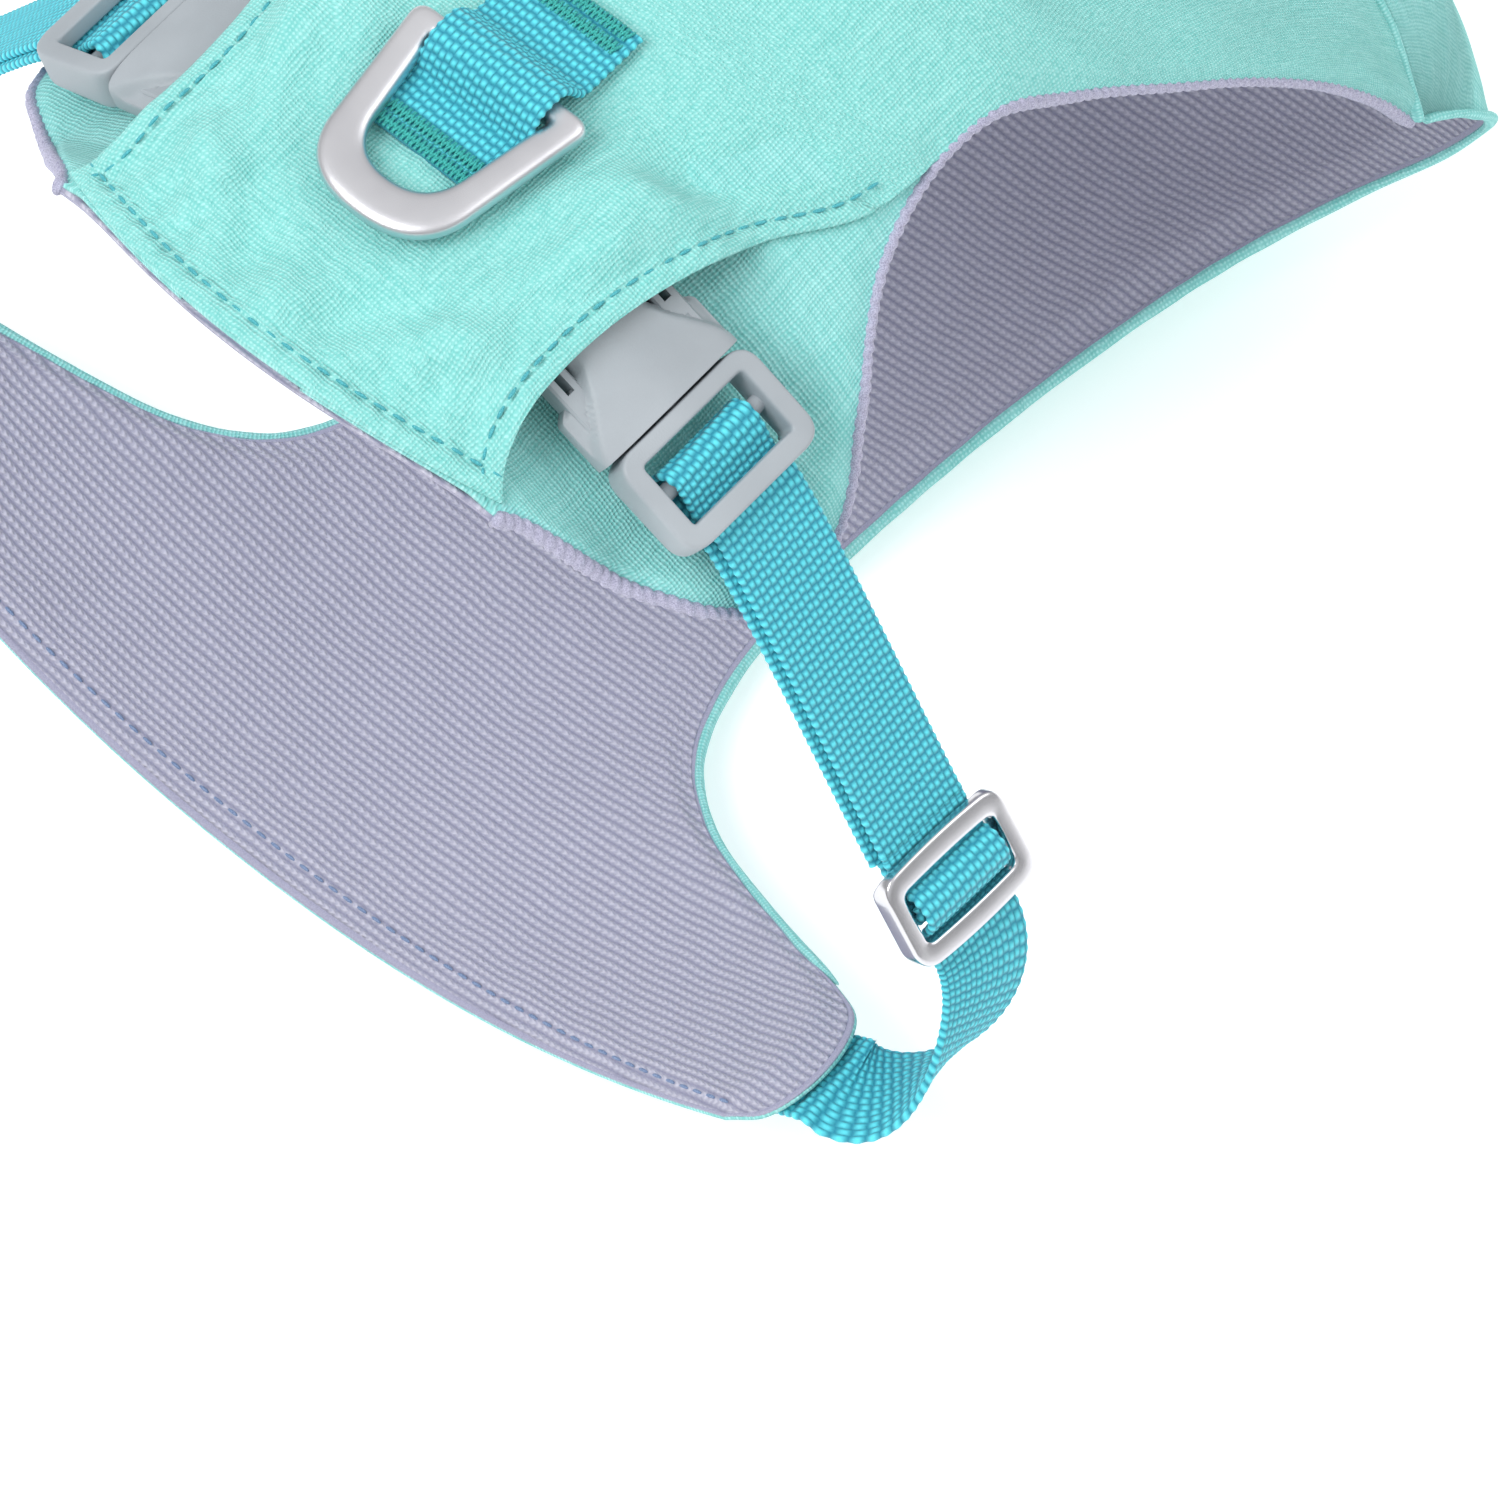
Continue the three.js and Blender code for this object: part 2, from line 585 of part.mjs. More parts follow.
function socketSolid() {
  const half = BUCKLE_WIDTH / 2;
  const waist = PRONG_MIDDLE - PRONG_WIDTH / 2 - PRONG_ROOM;
  const room = WEBBING / 2 + 0.5;
  const tail = room + 2;
  const shape = new THREE.Shape();
  shape.moveTo(-half, 0);
  shape.lineTo(-half, -COLLAR_LENGTH + 1);
  shape.quadraticCurveTo(-waist - 1, -COLLAR_LENGTH, -waist, -COLLAR_LENGTH - 4);
  shape.lineTo(-waist, -CAVITY_DEPTH + 2);
  shape.lineTo(-tail, -CAVITY_DEPTH - 1);
  shape.lineTo(-tail, -SOCKET_LENGTH);
  shape.lineTo(tail, -SOCKET_LENGTH);
  shape.lineTo(tail, -CAVITY_DEPTH - 1);
  shape.lineTo(waist, -CAVITY_DEPTH + 2);
  shape.lineTo(waist, -COLLAR_LENGTH - 4);
  shape.quadraticCurveTo(waist + 1, -COLLAR_LENGTH, half, -COLLAR_LENGTH + 1);
  shape.lineTo(half, 0);
  shape.closePath();
  const body = plate(shape, BUCKLE_THICKNESS, -BUCKLE_THICKNESS / 2, 1);
  const cavity = block([-CAVITY_HALF, -CAVITY_DEPTH, -CAVITY_UP], [CAVITY_HALF, 1, CAVITY_UP]);
  const slotEnd = -SOCKET_LENGTH + SOCKET_BAR;
  const slot = block([-room, slotEnd, -BUCKLE_THICKNESS], [room, slotEnd + BAR_SLOT, BUCKLE_THICKNESS]);
  const barHalf = SOCKET_BAR_THICKNESS / 2;
  const above = block([-room, -SOCKET_LENGTH - 1, barHalf], [room, slotEnd + 1, BUCKLE_THICKNESS]);
  const below = block([-room, -SOCKET_LENGTH - 1, -BUCKLE_THICKNESS], [room, slotEnd + 1, -barHalf]);
  return cut(body, cavity, slot, above, below);
}

const CLIP_UP = 4.5;
const CLIP_DOWN = 4;
const OUTER_BAR_UNDERSIDE = 0.2;

function clipSolid() {
  const half = BUCKLE_WIDTH / 2 - CLIP_INSET;
  const inner = half - CLIP_RAIL;
  const root = RUN + 3.6;
  const barStart = CLIP_LENGTH - CLIP_RAIL;
  const shape = new THREE.Shape();
  shape.moveTo(-half, RUN);
  shape.lineTo(half, RUN);
  shape.lineTo(half, CLIP_LENGTH - 5);
  shape.quadraticCurveTo(half, CLIP_LENGTH, half - 5, CLIP_LENGTH);
  shape.lineTo(5 - half, CLIP_LENGTH);
  shape.quadraticCurveTo(-half, CLIP_LENGTH, -half, CLIP_LENGTH - 5);
  shape.closePath();
  const frame = plate(shape, CLIP_UP + CLIP_DOWN, -CLIP_DOWN, 1);
  const window = block([-inner, root, -CLIP_DOWN - 1], [inner, barStart, CLIP_UP + 1]);
  const passage = block([-inner, barStart - 1, -CLIP_DOWN - 1], [inner, CLIP_LENGTH + 1, OUTER_BAR_UNDERSIDE]);
  const tongue = block([-2.4, 4 - PRONG_LENGTH, -2], [2.4, root - 1, 2]);
  const bar = crossBar(2 * inner + 3, CLIP_BAR, CLIP_BAR_PLACE, 0);
  return join(cut(frame, window, passage), tongue, bar);
}

function prongSolid() {
  const half = PRONG_WIDTH / 2;
  const start = RUN - GAP;
  const shape = new THREE.Shape();
  shape.moveTo(-half, start);
  shape.lineTo(-half, 2 - PRONG_LENGTH);
  shape.quadraticCurveTo(-half, -PRONG_LENGTH, 0, -PRONG_LENGTH);
  shape.quadraticCurveTo(half, -PRONG_LENGTH, half, 3 - PRONG_LENGTH);
  shape.lineTo(half, start);
  shape.closePath();
  const slotEnd = 4 - PRONG_LENGTH;
  const slot = block([-0.8, slotEnd, -PRONG_THICKNESS], [0.8, slotEnd + 5, PRONG_THICKNESS]);
  return cut(plate(shape, PRONG_THICKNESS, -PRONG_THICKNESS / 2, 0.4), slot);
}

// Points on an arc in the along-up plane, from one angle to another in degrees.
function arc(along, up, radius, from, to, steps) {
  return Array.from({ length: steps + 1 }, (_, i) => {
    const angle = THREE.MathUtils.degToRad(from + ((to - from) * i) / steps);
    return [along + radius * Math.cos(angle), up + radius * Math.sin(angle)];
  });
}

const WRAP = GAP + WEBBING_THICKNESS / 2;

// The anchor goes round the socket's bar and both plies lie on the padding.
function anchorRoute(axes, sign) {
  const barMiddle = -SOCKET_LENGTH + SOCKET_BAR / 2;
  const barCorner = Math.hypot(SOCKET_BAR, SOCKET_BAR_THICKNESS) / 2 + 0.1;
  const turn = arc(barMiddle, 0, barCorner + WRAP, -110, 125, 10).map(([a, u]) => onAxes(axes, a, u));
  const inner = (out, lift) => {
    const onPad = lifted(vec(BUCKLE_X, out, -archDrop(out)), -DIP * overBuckle(BUCKLE_X, out, 2, 66));
    return vec(BUCKLE_X, sign * out, onPad.z - PAD_DEPTH + lift + WRAP);
  };
  const lower = [inner(12, 0.4), inner(17, 0.9), inner(22, 1.4)];
  const upper = [inner(22, 6.2), inner(17, PLY + 1.6), inner(12, PLY + 0.5)];
  return [...lower, ...turn, ...upper];
}

// ---------------------------------------------------------------- adjuster and strap

// Middle of the two plies where they pass under the clip's outer bar.
const STRAP_LEVEL = OUTER_BAR_UNDERSIDE - PLY_GAP - (WEBBING_THICKNESS + PLY) / 2;

function adjusterAxes(sign) {
  const origin = vec(ADJUSTER_X, sign * ADJUSTER_OUT, -ADJUSTER_DROP);
  const along = origin.clone().sub(onAxes(buckleAxes(sign), CLIP_LENGTH, STRAP_LEVEL)).normalize();
  const across = vec(sign, 0, 0).addScaledVector(along, -sign * along.x).normalize();
  return { origin, along, across, up: across.clone().cross(along) };
}

const BAR_BASE = 1.5;            // underside of the outer bars above the adjuster's pin line

function adjusterSolid() {
  const half = ADJUSTER_WIDTH / 2;
  const end = ADJUSTER_LENGTH / 2;
  const inner = half - ADJUSTER_RAIL;
  const shape = new THREE.Shape();
  shape.moveTo(-half, -end + 2);
  shape.quadraticCurveTo(-half, -end, -half + 2, -end);
  shape.lineTo(half - 2, -end);
  shape.quadraticCurveTo(half, -end, half, -end + 2);
  shape.lineTo(half, end - 2);
  shape.quadraticCurveTo(half, end, half - 2, end);
  shape.lineTo(-half + 2, end);
  shape.quadraticCurveTo(-half, end, -half, end - 2);
  shape.closePath();
  const body = plate(shape, 5.2, -1.2, 0.7);
  const reach = end - ADJUSTER_RAIL;
  const window = block([-inner, -reach, -5], [inner, reach, 9]);
  const passage = block([-inner, -end - 1, -5], [inner, end + 1, BAR_BASE]);
  return join(cut(body, window, passage), crossBar(2 * inner + 2, ADJUSTER_PIN, 0, 0));
}

// Where the strap is sewn under the wing, a gap below the chest cover.
function wingPlace(v, sign) {
  const row = 2.6 / (chestRibs.length - 1);
  const point = chestSurface(row, v);
  const across = chestSurface(row, v).sub(chestSurface(row, v - 0.02));
  const down = across.clone().cross(vec(1, 0, 0)).normalize();
  if (down.z > 0) down.negate();
  point.addScaledVector(down, WRAP);
  point.y *= sign;
  return point;
}

// From the sewn end round the adjuster's pin, up to the clip's bar, back through the
// adjuster over the pin, and in a slack loop to the underside of the wing tip.
function strapRoute(sign) {
  const buckle = buckleAxes(sign);
  const adjuster = adjusterAxes(sign);
  const atAdjuster = (list) => list.map(([a, u]) => onAxes(adjuster, a, u));
  const atClip = (list) => list.map(([a, u]) => onAxes(buckle, a, u));
  const pinTurn = ADJUSTER_PIN + WRAP;
  const crown = pinTurn + WEBBING_THICKNESS + GAP;
  const window = ADJUSTER_LENGTH / 2 - ADJUSTER_RAIL;
  const topPly = BAR_BASE - 0.35 - WEBBING_THICKNESS / 2;
  const clipTop = OUTER_BAR_UNDERSIDE - PLY_GAP - WEBBING_THICKNESS / 2;
  const sewnEnd = atAdjuster(arc(0, 0, pinTurn, 112, -90, 9));
  const underPly = atAdjuster([[-5.5, topPly - PLY - 0.3], [-12, topPly - PLY]]);
  const underClip = atClip([[CLIP_LENGTH + 1, clipTop - PLY], [CLIP_LENGTH - 4, clipTop - PLY]]);
  const clipTurn = atClip(arc(CLIP_BAR_PLACE, 0, CLIP_BAR + WRAP, -90, -270, 9));
  const overClip = atClip([
    [CLIP_BAR_PLACE + 3.2, 1.3], [CLIP_LENGTH - 5, clipTop + 0.15], [CLIP_LENGTH - 2, clipTop],
    [CLIP_LENGTH + 1, clipTop],
  ]);
  const roll = atAdjuster([
    [-12, topPly], [0.2 - window, topPly], [1.6 - window, topPly + 0.7],
    ...arc(0, 0, crown, 142, 38, 6), [window - 1.8, topPly + 0.6], [window - 0.2, topPly],
    [window + 2.5, topPly - 0.2], [12, topPly - 0.6],
  ]);
  const leave = roll[roll.length - 1];
  const arrive = wingPlace(1, sign);
  const outward = arrive.clone().sub(wingPlace(0.96, sign)).normalize();
  const loop = new THREE.CubicBezierCurve3(
    leave,
    leave.clone().addScaledVector(adjuster.along, 20),
    arrive.clone().addScaledVector(outward, 16).add(vec(0, 0, -LOOP_SAG)),
    arrive,
  ).getPoints(14).slice(1);
  const sewn = [wingPlace(0.94, sign), wingPlace(0.88, sign), wingPlace(0.82, sign)];
  const stretches = [sewnEnd, underPly, underClip, clipTurn, overClip, roll, loop, sewn];
  const forward = vec(1, 0, 0);
  const square = adjuster.across.clone().multiplyScalar(sign);
  const heldByAdjuster = new Set([sewnEnd, underPly, roll]);
  const points = stretches.flat();
  const sides = stretches.flatMap((list) => list.map(() => (heldByAdjuster.has(list) ? square : forward)));
  return { points, sides };
}

function sideStrap(side, sign) {
  const buckle = buckleAxes(sign);
  const forward = vec(1, 0, 0);
  seat(piece(`buckle_socket_${side}`, socketSolid(), GREY_PLASTIC), buckle);
  seat(piece(`clip_frame_${side}`, clipSolid(), GREY_PLASTIC), buckle);
  for (const hand of [-1, 1]) {
    const end = hand * sign > 0 ? 'front' : 'rear';
    const prong = prongSolid().translate(hand * PRONG_MIDDLE, 0, 0);
    seat(piece(`prong_${end}_${side}`, prong, GREY_PLASTIC), buckle);
  }
  const anchor = ribbon(anchorRoute(buckle, sign), forward, WEBBING, WEBBING_THICKNESS);
  piece(`socket_webbing_${side}`, anchor, TEAL);
  const route = strapRoute(sign);
  piece(`strap_${side}`, ribbon(route.points, route.sides, WEBBING, WEBBING_THICKNESS), TEAL);
  seat(piece(`adjuster_${side}`, adjusterSolid(), BRIGHT_METAL), adjusterAxes(sign));
}

backPanel();
chestPanel();
leashRing();
SIDES.forEach(([side, sign]) => sideStrap(side, sign));

export default harness;
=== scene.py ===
"""Padded harness vest for a dog: canvas back with buckle pockets, knit lining, belly wings, side straps.

Every shape is worked out in millimetres with the middle of the back's hem at zero, +X to the head,
+Y to the left side and +Z up, and is carried into the frame by on_frame().
"""

import math

import bpy
import numpy as np
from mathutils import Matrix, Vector


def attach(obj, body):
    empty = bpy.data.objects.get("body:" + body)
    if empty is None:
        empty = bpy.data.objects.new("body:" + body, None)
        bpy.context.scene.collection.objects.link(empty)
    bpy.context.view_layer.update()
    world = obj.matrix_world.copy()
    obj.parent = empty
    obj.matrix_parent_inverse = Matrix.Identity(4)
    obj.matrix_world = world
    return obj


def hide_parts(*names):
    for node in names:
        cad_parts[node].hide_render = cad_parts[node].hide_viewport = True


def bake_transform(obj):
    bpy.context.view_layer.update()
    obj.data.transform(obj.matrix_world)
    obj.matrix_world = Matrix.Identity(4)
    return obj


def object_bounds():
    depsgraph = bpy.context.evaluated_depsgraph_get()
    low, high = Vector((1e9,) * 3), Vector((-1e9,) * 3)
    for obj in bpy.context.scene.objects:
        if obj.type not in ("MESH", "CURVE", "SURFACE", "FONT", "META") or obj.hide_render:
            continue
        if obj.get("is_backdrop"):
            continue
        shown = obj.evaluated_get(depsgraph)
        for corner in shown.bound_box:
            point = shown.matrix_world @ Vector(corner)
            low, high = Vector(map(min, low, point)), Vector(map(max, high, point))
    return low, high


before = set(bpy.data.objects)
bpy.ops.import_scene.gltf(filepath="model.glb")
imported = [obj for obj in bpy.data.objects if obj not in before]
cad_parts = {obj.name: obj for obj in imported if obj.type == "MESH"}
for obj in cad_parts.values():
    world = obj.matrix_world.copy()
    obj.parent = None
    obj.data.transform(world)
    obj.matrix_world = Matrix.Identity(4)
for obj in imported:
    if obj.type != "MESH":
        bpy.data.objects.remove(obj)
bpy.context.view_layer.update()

MM = 0.001
SEAT = np.array([-62.0, 0.0, 6.0])   # from the hem to the frame's origin
SIDES = (("right", -1), ("left", 1))

# ---------------------------------------------------------------- sizes in millimetres

BACK_RADIUS = 97.0
WEBBING = 20.0
WEBBING_THICKNESS = 1.5
PLY = 1.9
GAP = 0.3
WRAP = GAP + WEBBING_THICKNESS / 2
BUCKLE_X = 45.0
BUCKLE_OUT = 55.0
BUCKLE_DROP = 17.8
BUCKLE_LEAN = math.asin(42.5 / 97.0)
BUCKLE_WIDTH = 33.0
DIP = 7.0
HUMP = 5.8
CLIP_LENGTH = 21.0
CLIP_BAR = 1.6
CLIP_BAR_PLACE = 10.0
ADJUSTER = (41.0, 121.0, -96.0)
ADJUSTER_WIDTH = 29.0
ADJUSTER_LENGTH = 19.0
ADJUSTER_RAIL = 3.0
ADJUSTER_PIN = 1.4
RING_X = 65.0
RING_LIFT = 4.1
RING_WEBBING = 25.0
YARN, PICK = 1.3, 1.85    # webbing: width of a yarn, length of a knuckle
RIB, LOOP = 1.75, 1.5     # knit: from ridge to ridge, from loop to loop
CORD_DEPTH, CORD_OUT = 2.9, 0.5
CORD_WIDE, CORD_HIGH, CORD_TWIST = 1.25, 1.75, 4.6
STITCH_PITCH, STITCH_LENGTH, STITCH_RADIUS = 3.6, 2.5, 0.34
TACK_RADIUS, TACK_LEAN = 0.3, 0.34
HEM_SEAM, HEM_FOLD = 3.9, 4.6    # from the edge to the sewn line and to the doubled canvas's end
STRAP_FACE = 0.4          # the upper ply's middle above the adjuster's pin
CLIP_FACE = -0.95         # and above the clip's strap bar
SOCKET_END = -31.0        # along the buckle, from its parting line
SOCKET_BAR, SOCKET_BAR_RADIUS = SOCKET_END + 1.2, 2.1
WING_RIB = 2.6            # of CHEST_RIBS: where the strap is sewn
FLAT_CLOTH = 50.0         # third cloth coordinate of a piece with no hem

# ---------------------------------------------------------------- arrays


def ramp(value, start, end):
    """Smooth 0 to 1 step: t t (3 - 2 t) with t the share of the way from start to end."""
    t = np.clip((value - start) / (end - start), 0.0, 1.0)
    return t * t * (3.0 - 2.0 * t)


def unit(vectors):
    """Each vector over its own length."""
    return vectors / np.maximum(np.linalg.norm(vectors, axis=-1, keepdims=True), 1e-12)


def spline(points, u):
    """Centripetal Catmull-Rom curve through the points, at u from 0 to 1 with equal steps a point."""
    points = np.asarray(points, float)
    first = 2.0 * points[:1] - points[1:2]
    last = 2.0 * points[-1:] - points[-2:-1]
    held = np.concatenate([first, points, last])
    place = np.asarray(u, float) * (len(points) - 1)
    i = np.clip(np.floor(place).astype(int), 0, len(points) - 2)
    w = (place - i)[..., None]
    p0, p1, p2, p3 = held[i], held[i + 1], held[i + 2], held[i + 3]
    d0, d1, d2 = (
        np.sqrt(np.linalg.norm(b - a, axis=-1, keepdims=True)) + 1e-9
        for a, b in ((p0, p1), (p1, p2), (p2, p3))
    )
    m1 = d1 * ((p1 - p0) / d0 - (p2 - p0) / (d0 + d1) + (p2 - p1) / d1)
    m2 = d1 * ((p2 - p1) / d1 - (p3 - p1) / (d1 + d2) + (p3 - p2) / d2)
    square = w * w
    cube = square * w
    return p1 + m1 * w + (3 * (p2 - p1) - 2 * m1 - m2) * square + (2 * (p1 - p2) + m1 + m2) * cube


def lengths(path):
    """Distance along a path at each of its points."""
    return np.concatenate([[0.0], np.cumsum(np.linalg.norm(np.diff(path, axis=0), axis=1))])


def evenly(path, step, *others):
    """The path again at equal steps, with other arrays carried along it in the same way."""
    along = lengths(path)
    count = max(2, int(round(along[-1] / step)) + 1)
    at = np.linspace(0.0, along[-1], count)
    made = [
        np.stack([np.interp(at, along, a[:, k]) for k in range(a.shape[1])], 1) for a in (path, *others)
    ]
    return made if others else made[0]


def smoothed(path, step, *others):
    """A rounded path through the points, at equal steps."""
    u = np.linspace(0.0, 1.0, 12 * len(path))
    return evenly(spline(path, u), step, *[spline(a, u) for a in others])


def on_frame(points):
    """From millimetres at the hem to metres in the frame."""
    return (points + SEAT) * MM


def around(count):
    """Angles of a full turn at equal steps, as one row."""
    return np.linspace(0, 2 * math.pi, count, endpoint=False)[None, :]


def squared_circle(angle, squareness):
    """Superellipse of half width and half height 1: its two coordinates at an angle."""
    power = 2.0 / squareness
    cos, sin = np.cos(angle), np.sin(angle)
    return np.sign(cos) * np.abs(cos) ** power, np.sign(sin) * np.abs(sin) ** power


def grid_quads(rows, columns, round_rows=False, round_columns=False):
    """Four-sided faces of a grid of rows by columns points; a round side joins its end to its start."""
    i = np.arange(rows if round_rows else rows - 1)[:, None]
    j = np.arange(columns if round_columns else columns - 1)[None, :]
    down, right = (i + 1) % rows, (j + 1) % columns
    corners = [i * columns + j, down * columns + j, down * columns + right, i * columns + right]
    return np.stack([np.broadcast_to(c, (len(i), j.shape[1])) for c in corners], -1).reshape(-1, 4)


def build(name, points, quads, material, cloth=None):
    """One object from points in millimetres and four-sided faces; cloth holds a vector for each point."""
    mesh = bpy.data.meshes.new(name)
    quads = np.ascontiguousarray(quads, np.int32)
    mesh.vertices.add(len(points))
    mesh.vertices.foreach_set("co", on_frame(points).astype(np.float32).ravel())
    mesh.loops.add(quads.size)
    mesh.loops.foreach_set("vertex_index", quads.ravel())
    mesh.polygons.add(len(quads))
    mesh.polygons.foreach_set("loop_start", np.arange(0, quads.size, 4, dtype=np.int32))
    mesh.polygons.foreach_set("loop_total", np.full(len(quads), 4, np.int32))
    mesh.polygons.foreach_set("use_smooth", np.ones(len(quads), bool))
    if cloth is not None:
        held = mesh.attributes.new("cloth", "FLOAT_VECTOR", "POINT")
        held.data.foreach_set("vector", cloth.astype(np.float32).ravel())
    mesh.update(calc_edges=True)
    mesh.validate()
    mesh.materials.append(material)
    piece = bpy.data.objects.new(name, mesh)
    bpy.context.scene.collection.objects.link(piece)
    return piece


def gathered(parts):
    """Several (points, quads, cloth) as one."""
    shift, points, quads, cloth = 0, [], [], []
    for p, q, c in parts:
        points.append(p)
        quads.append(q + shift)
        cloth.append(c)
        shift += len(p)
    return np.concatenate(points), np.concatenate(quads), np.concatenate(cloth)


def both_halves(points, quads, cloth):
    """A half and its mirror image in the middle plane, sharing the points that lie on it."""
    middle = np.abs(points[:, 1]) < 1e-6
    twin = np.where(middle, np.arange(len(points)), len(points) - 1 + np.cumsum(~middle))
    turned = np.array([1.0, -1.0, 1.0])
    all_points = np.concatenate([points, points[~middle] * turned])
    all_cloth = np.concatenate([cloth, cloth[~middle] * turned])
    return all_points, np.concatenate([quads, twin[quads][:, ::-1]]), all_cloth


def shell(outer, inner, quads, cloth):
    """A closed layer between two copies of one sheet, with its rim filled in."""
    count = len(outer)
    rolled = np.roll(quads, -1, axis=1)
    start, end = quads.ravel(), rolled.ravel()
    rim = ~np.isin(start * count + end, end * count + start)
    a, b = start[rim], end[rim]
    side = np.stack([b, a, a + count, b + count], 1)
    points = np.concatenate([outer, inner])
    return points, np.concatenate([quads, quads[:, ::-1] + count, side]), np.concatenate([cloth, cloth])


# ---------------------------------------------------------------- node groups


def node(tree, kind, inputs=None, **settings):
    """A new node with its settings made and each input linked to a socket or given a value."""
    made = tree.nodes.new(kind)
    for key, value in settings.items():
        setattr(made, key, value)
    for key, value in (inputs or {}).items():
        if isinstance(value, bpy.types.NodeSocket):
            tree.links.new(value, made.inputs[key])
        else:
            made.inputs[key].default_value = value
    return made


def sum_of(tree, operation, a, b=0.0, c=0.0):
    """One arithmetic step; a, b and c are numbers or sockets."""
    return node(tree, "ShaderNodeMath", {0: a, 1: b, 2: c}, operation=operation).outputs[0]


def noise(tree, vector, scale, detail):
    """Soft noise of about 0 to 1 at a place."""
    inputs = {"Vector": vector, "Scale": scale, "Detail": detail}
    return node(tree, "ShaderNodeTexNoise", inputs).outputs[0]


def rescaled(tree, value, start, end, low=0.0, high=1.0):
    """From low to high as the value goes from start to end, held beyond both."""
    return node(tree, "ShaderNodeMapRange", {0: value, 1: start, 2: end, 3: low, 4: high}).outputs[0]


def pattern(tree, kind, **inputs):
    """The outputs of one of the shared node groups."""
    return node(tree, "ShaderNodeGroup", inputs, node_tree=kind).outputs


def group(name, inputs, outputs):
    """An empty node group with named sockets, and its two ends."""
    tree = bpy.data.node_groups.new(name, "ShaderNodeTree")
    for label, kind, value in inputs:
        made = tree.interface.new_socket(name=label, in_out="INPUT", socket_type=kind)
        if value is not None:
            made.default_value = value
    for label, kind in outputs:
        tree.interface.new_socket(name=label, in_out="OUTPUT", socket_type=kind)
    return tree, tree.nodes.new("NodeGroupInput").outputs, tree.nodes.new("NodeGroupOutput").inputs


FLOAT, VECTOR = "NodeSocketFloat", "NodeSocketVector"


def wave(tree, value, pitch, turn=0.0):
    """Half of one plus the cosine: 1 on each multiple of the pitch, 0 half way between."""
    angle = sum_of(tree, "MULTIPLY_ADD", sum_of(tree, "DIVIDE", value, pitch), 2.0 * math.pi, turn)
    return sum_of(tree, "MULTIPLY_ADD", sum_of(tree, "COSINE", angle), 0.5, 0.5)


def plain_weave_group():
    """Two sets of threads that cross: the higher of the two waves, in turn over and under; and slubs."""
    tree, given, result = group(
        "Plain weave",
        [("Cloth", VECTOR, None), ("Pitch", FLOAT, 0.9), ("Slub", FLOAT, 0.5)],
        [("Height", FLOAT), ("Shade", FLOAT)],
    )
    split = node(tree, "ShaderNodeSeparateXYZ", {0: given["Cloth"]}).outputs
    wobble = noise(tree, given["Cloth"], 0.35, 1.0)
    x = sum_of(tree, "MULTIPLY_ADD", wobble, 0.9, split[0])
    y = sum_of(tree, "MULTIPLY_ADD", wobble, -0.9, split[1])
    warp = wave(tree, x, given["Pitch"])
    weft = wave(tree, y, given["Pitch"])
    crossing = sum_of(tree, "MULTIPLY", warp, weft)
    height = sum_of(tree, "MULTIPLY_ADD", crossing, 0.9, sum_of(tree, "MAXIMUM", warp, weft))
    slubs = []
    for stretch in ((0.07, 1.1, 1.0), (1.1, 0.07, 1.0)):
        inputs = {0: given["Cloth"], 1: stretch}
        along = node(tree, "ShaderNodeVectorMath", inputs, operation="MULTIPLY").outputs[0]
        slubs.append(noise(tree, along, 1.0, 2.0))
    slub = sum_of(tree, "ADD", slubs[0], sum_of(tree, "ADD", slubs[1], -1.0))
    tree.links.new(sum_of(tree, "MULTIPLY_ADD", slub, given["Slub"], height), result["Height"])
    shade = sum_of(tree, "MULTIPLY_ADD", sum_of(tree, "ADD", crossing, -0.35), 0.5, 0.5)
    tree.links.new(sum_of(tree, "MULTIPLY_ADD", slub, 0.5, shade), result["Shade"])
    return tree


def webbing_group():
    """Lengthwise yarns, each rising in a knuckle where its neighbours dip, with twisted fibres in each. Its
    Shade is a painted highlight on the knuckle tops and painted shade in the gaps between them, with a
    speckle of real tone.
    """
    tree, given, result = group(
        "Webbing knuckles",
        [("Cloth", VECTOR, None), ("Yarn", FLOAT, YARN), ("Pick", FLOAT, PICK)],
        [("Height", FLOAT), ("Shade", FLOAT)],
    )
    split = node(tree, "ShaderNodeSeparateXYZ", {0: given["Cloth"]}).outputs
    yarn = sum_of(tree, "DIVIDE", split[1], given["Yarn"])
    number = sum_of(tree, "FLOOR", yarn)
    odd = sum_of(tree, "MULTIPLY", sum_of(tree, "FLOORED_MODULO", number, 2.0), 0.9)
    across = sum_of(tree, "SINE", sum_of(tree, "MULTIPLY", sum_of(tree, "FRACT", yarn), math.pi))
    along = wave(tree, split[0], given["Pick"], odd)
    across, along = sum_of(tree, "POWER", across, 0.6), sum_of(tree, "POWER", along, 0.7)
    knuckle = sum_of(tree, "MULTIPLY", across, along)
    twist = sum_of(tree, "MULTIPLY_ADD", split[1], 1.7, split[0])
    fibre = wave(tree, twist, 0.32)
    speckle = noise(tree, given["Cloth"], 2.4, 2.0)
    fine = sum_of(tree, "MULTIPLY_ADD", fibre, 0.08, sum_of(tree, "MULTIPLY", speckle, 0.18))
    tree.links.new(sum_of(tree, "ADD", knuckle, fine), result["Height"])
    # painted highlight on the knuckle tops and painted shade in the gaps between them, plus a speckle of real
    # tone
    shade = sum_of(tree, "MULTIPLY_ADD", speckle, 0.3, sum_of(tree, "MULTIPLY", knuckle, 0.85))
    tree.links.new(shade, result["Shade"])
    return tree


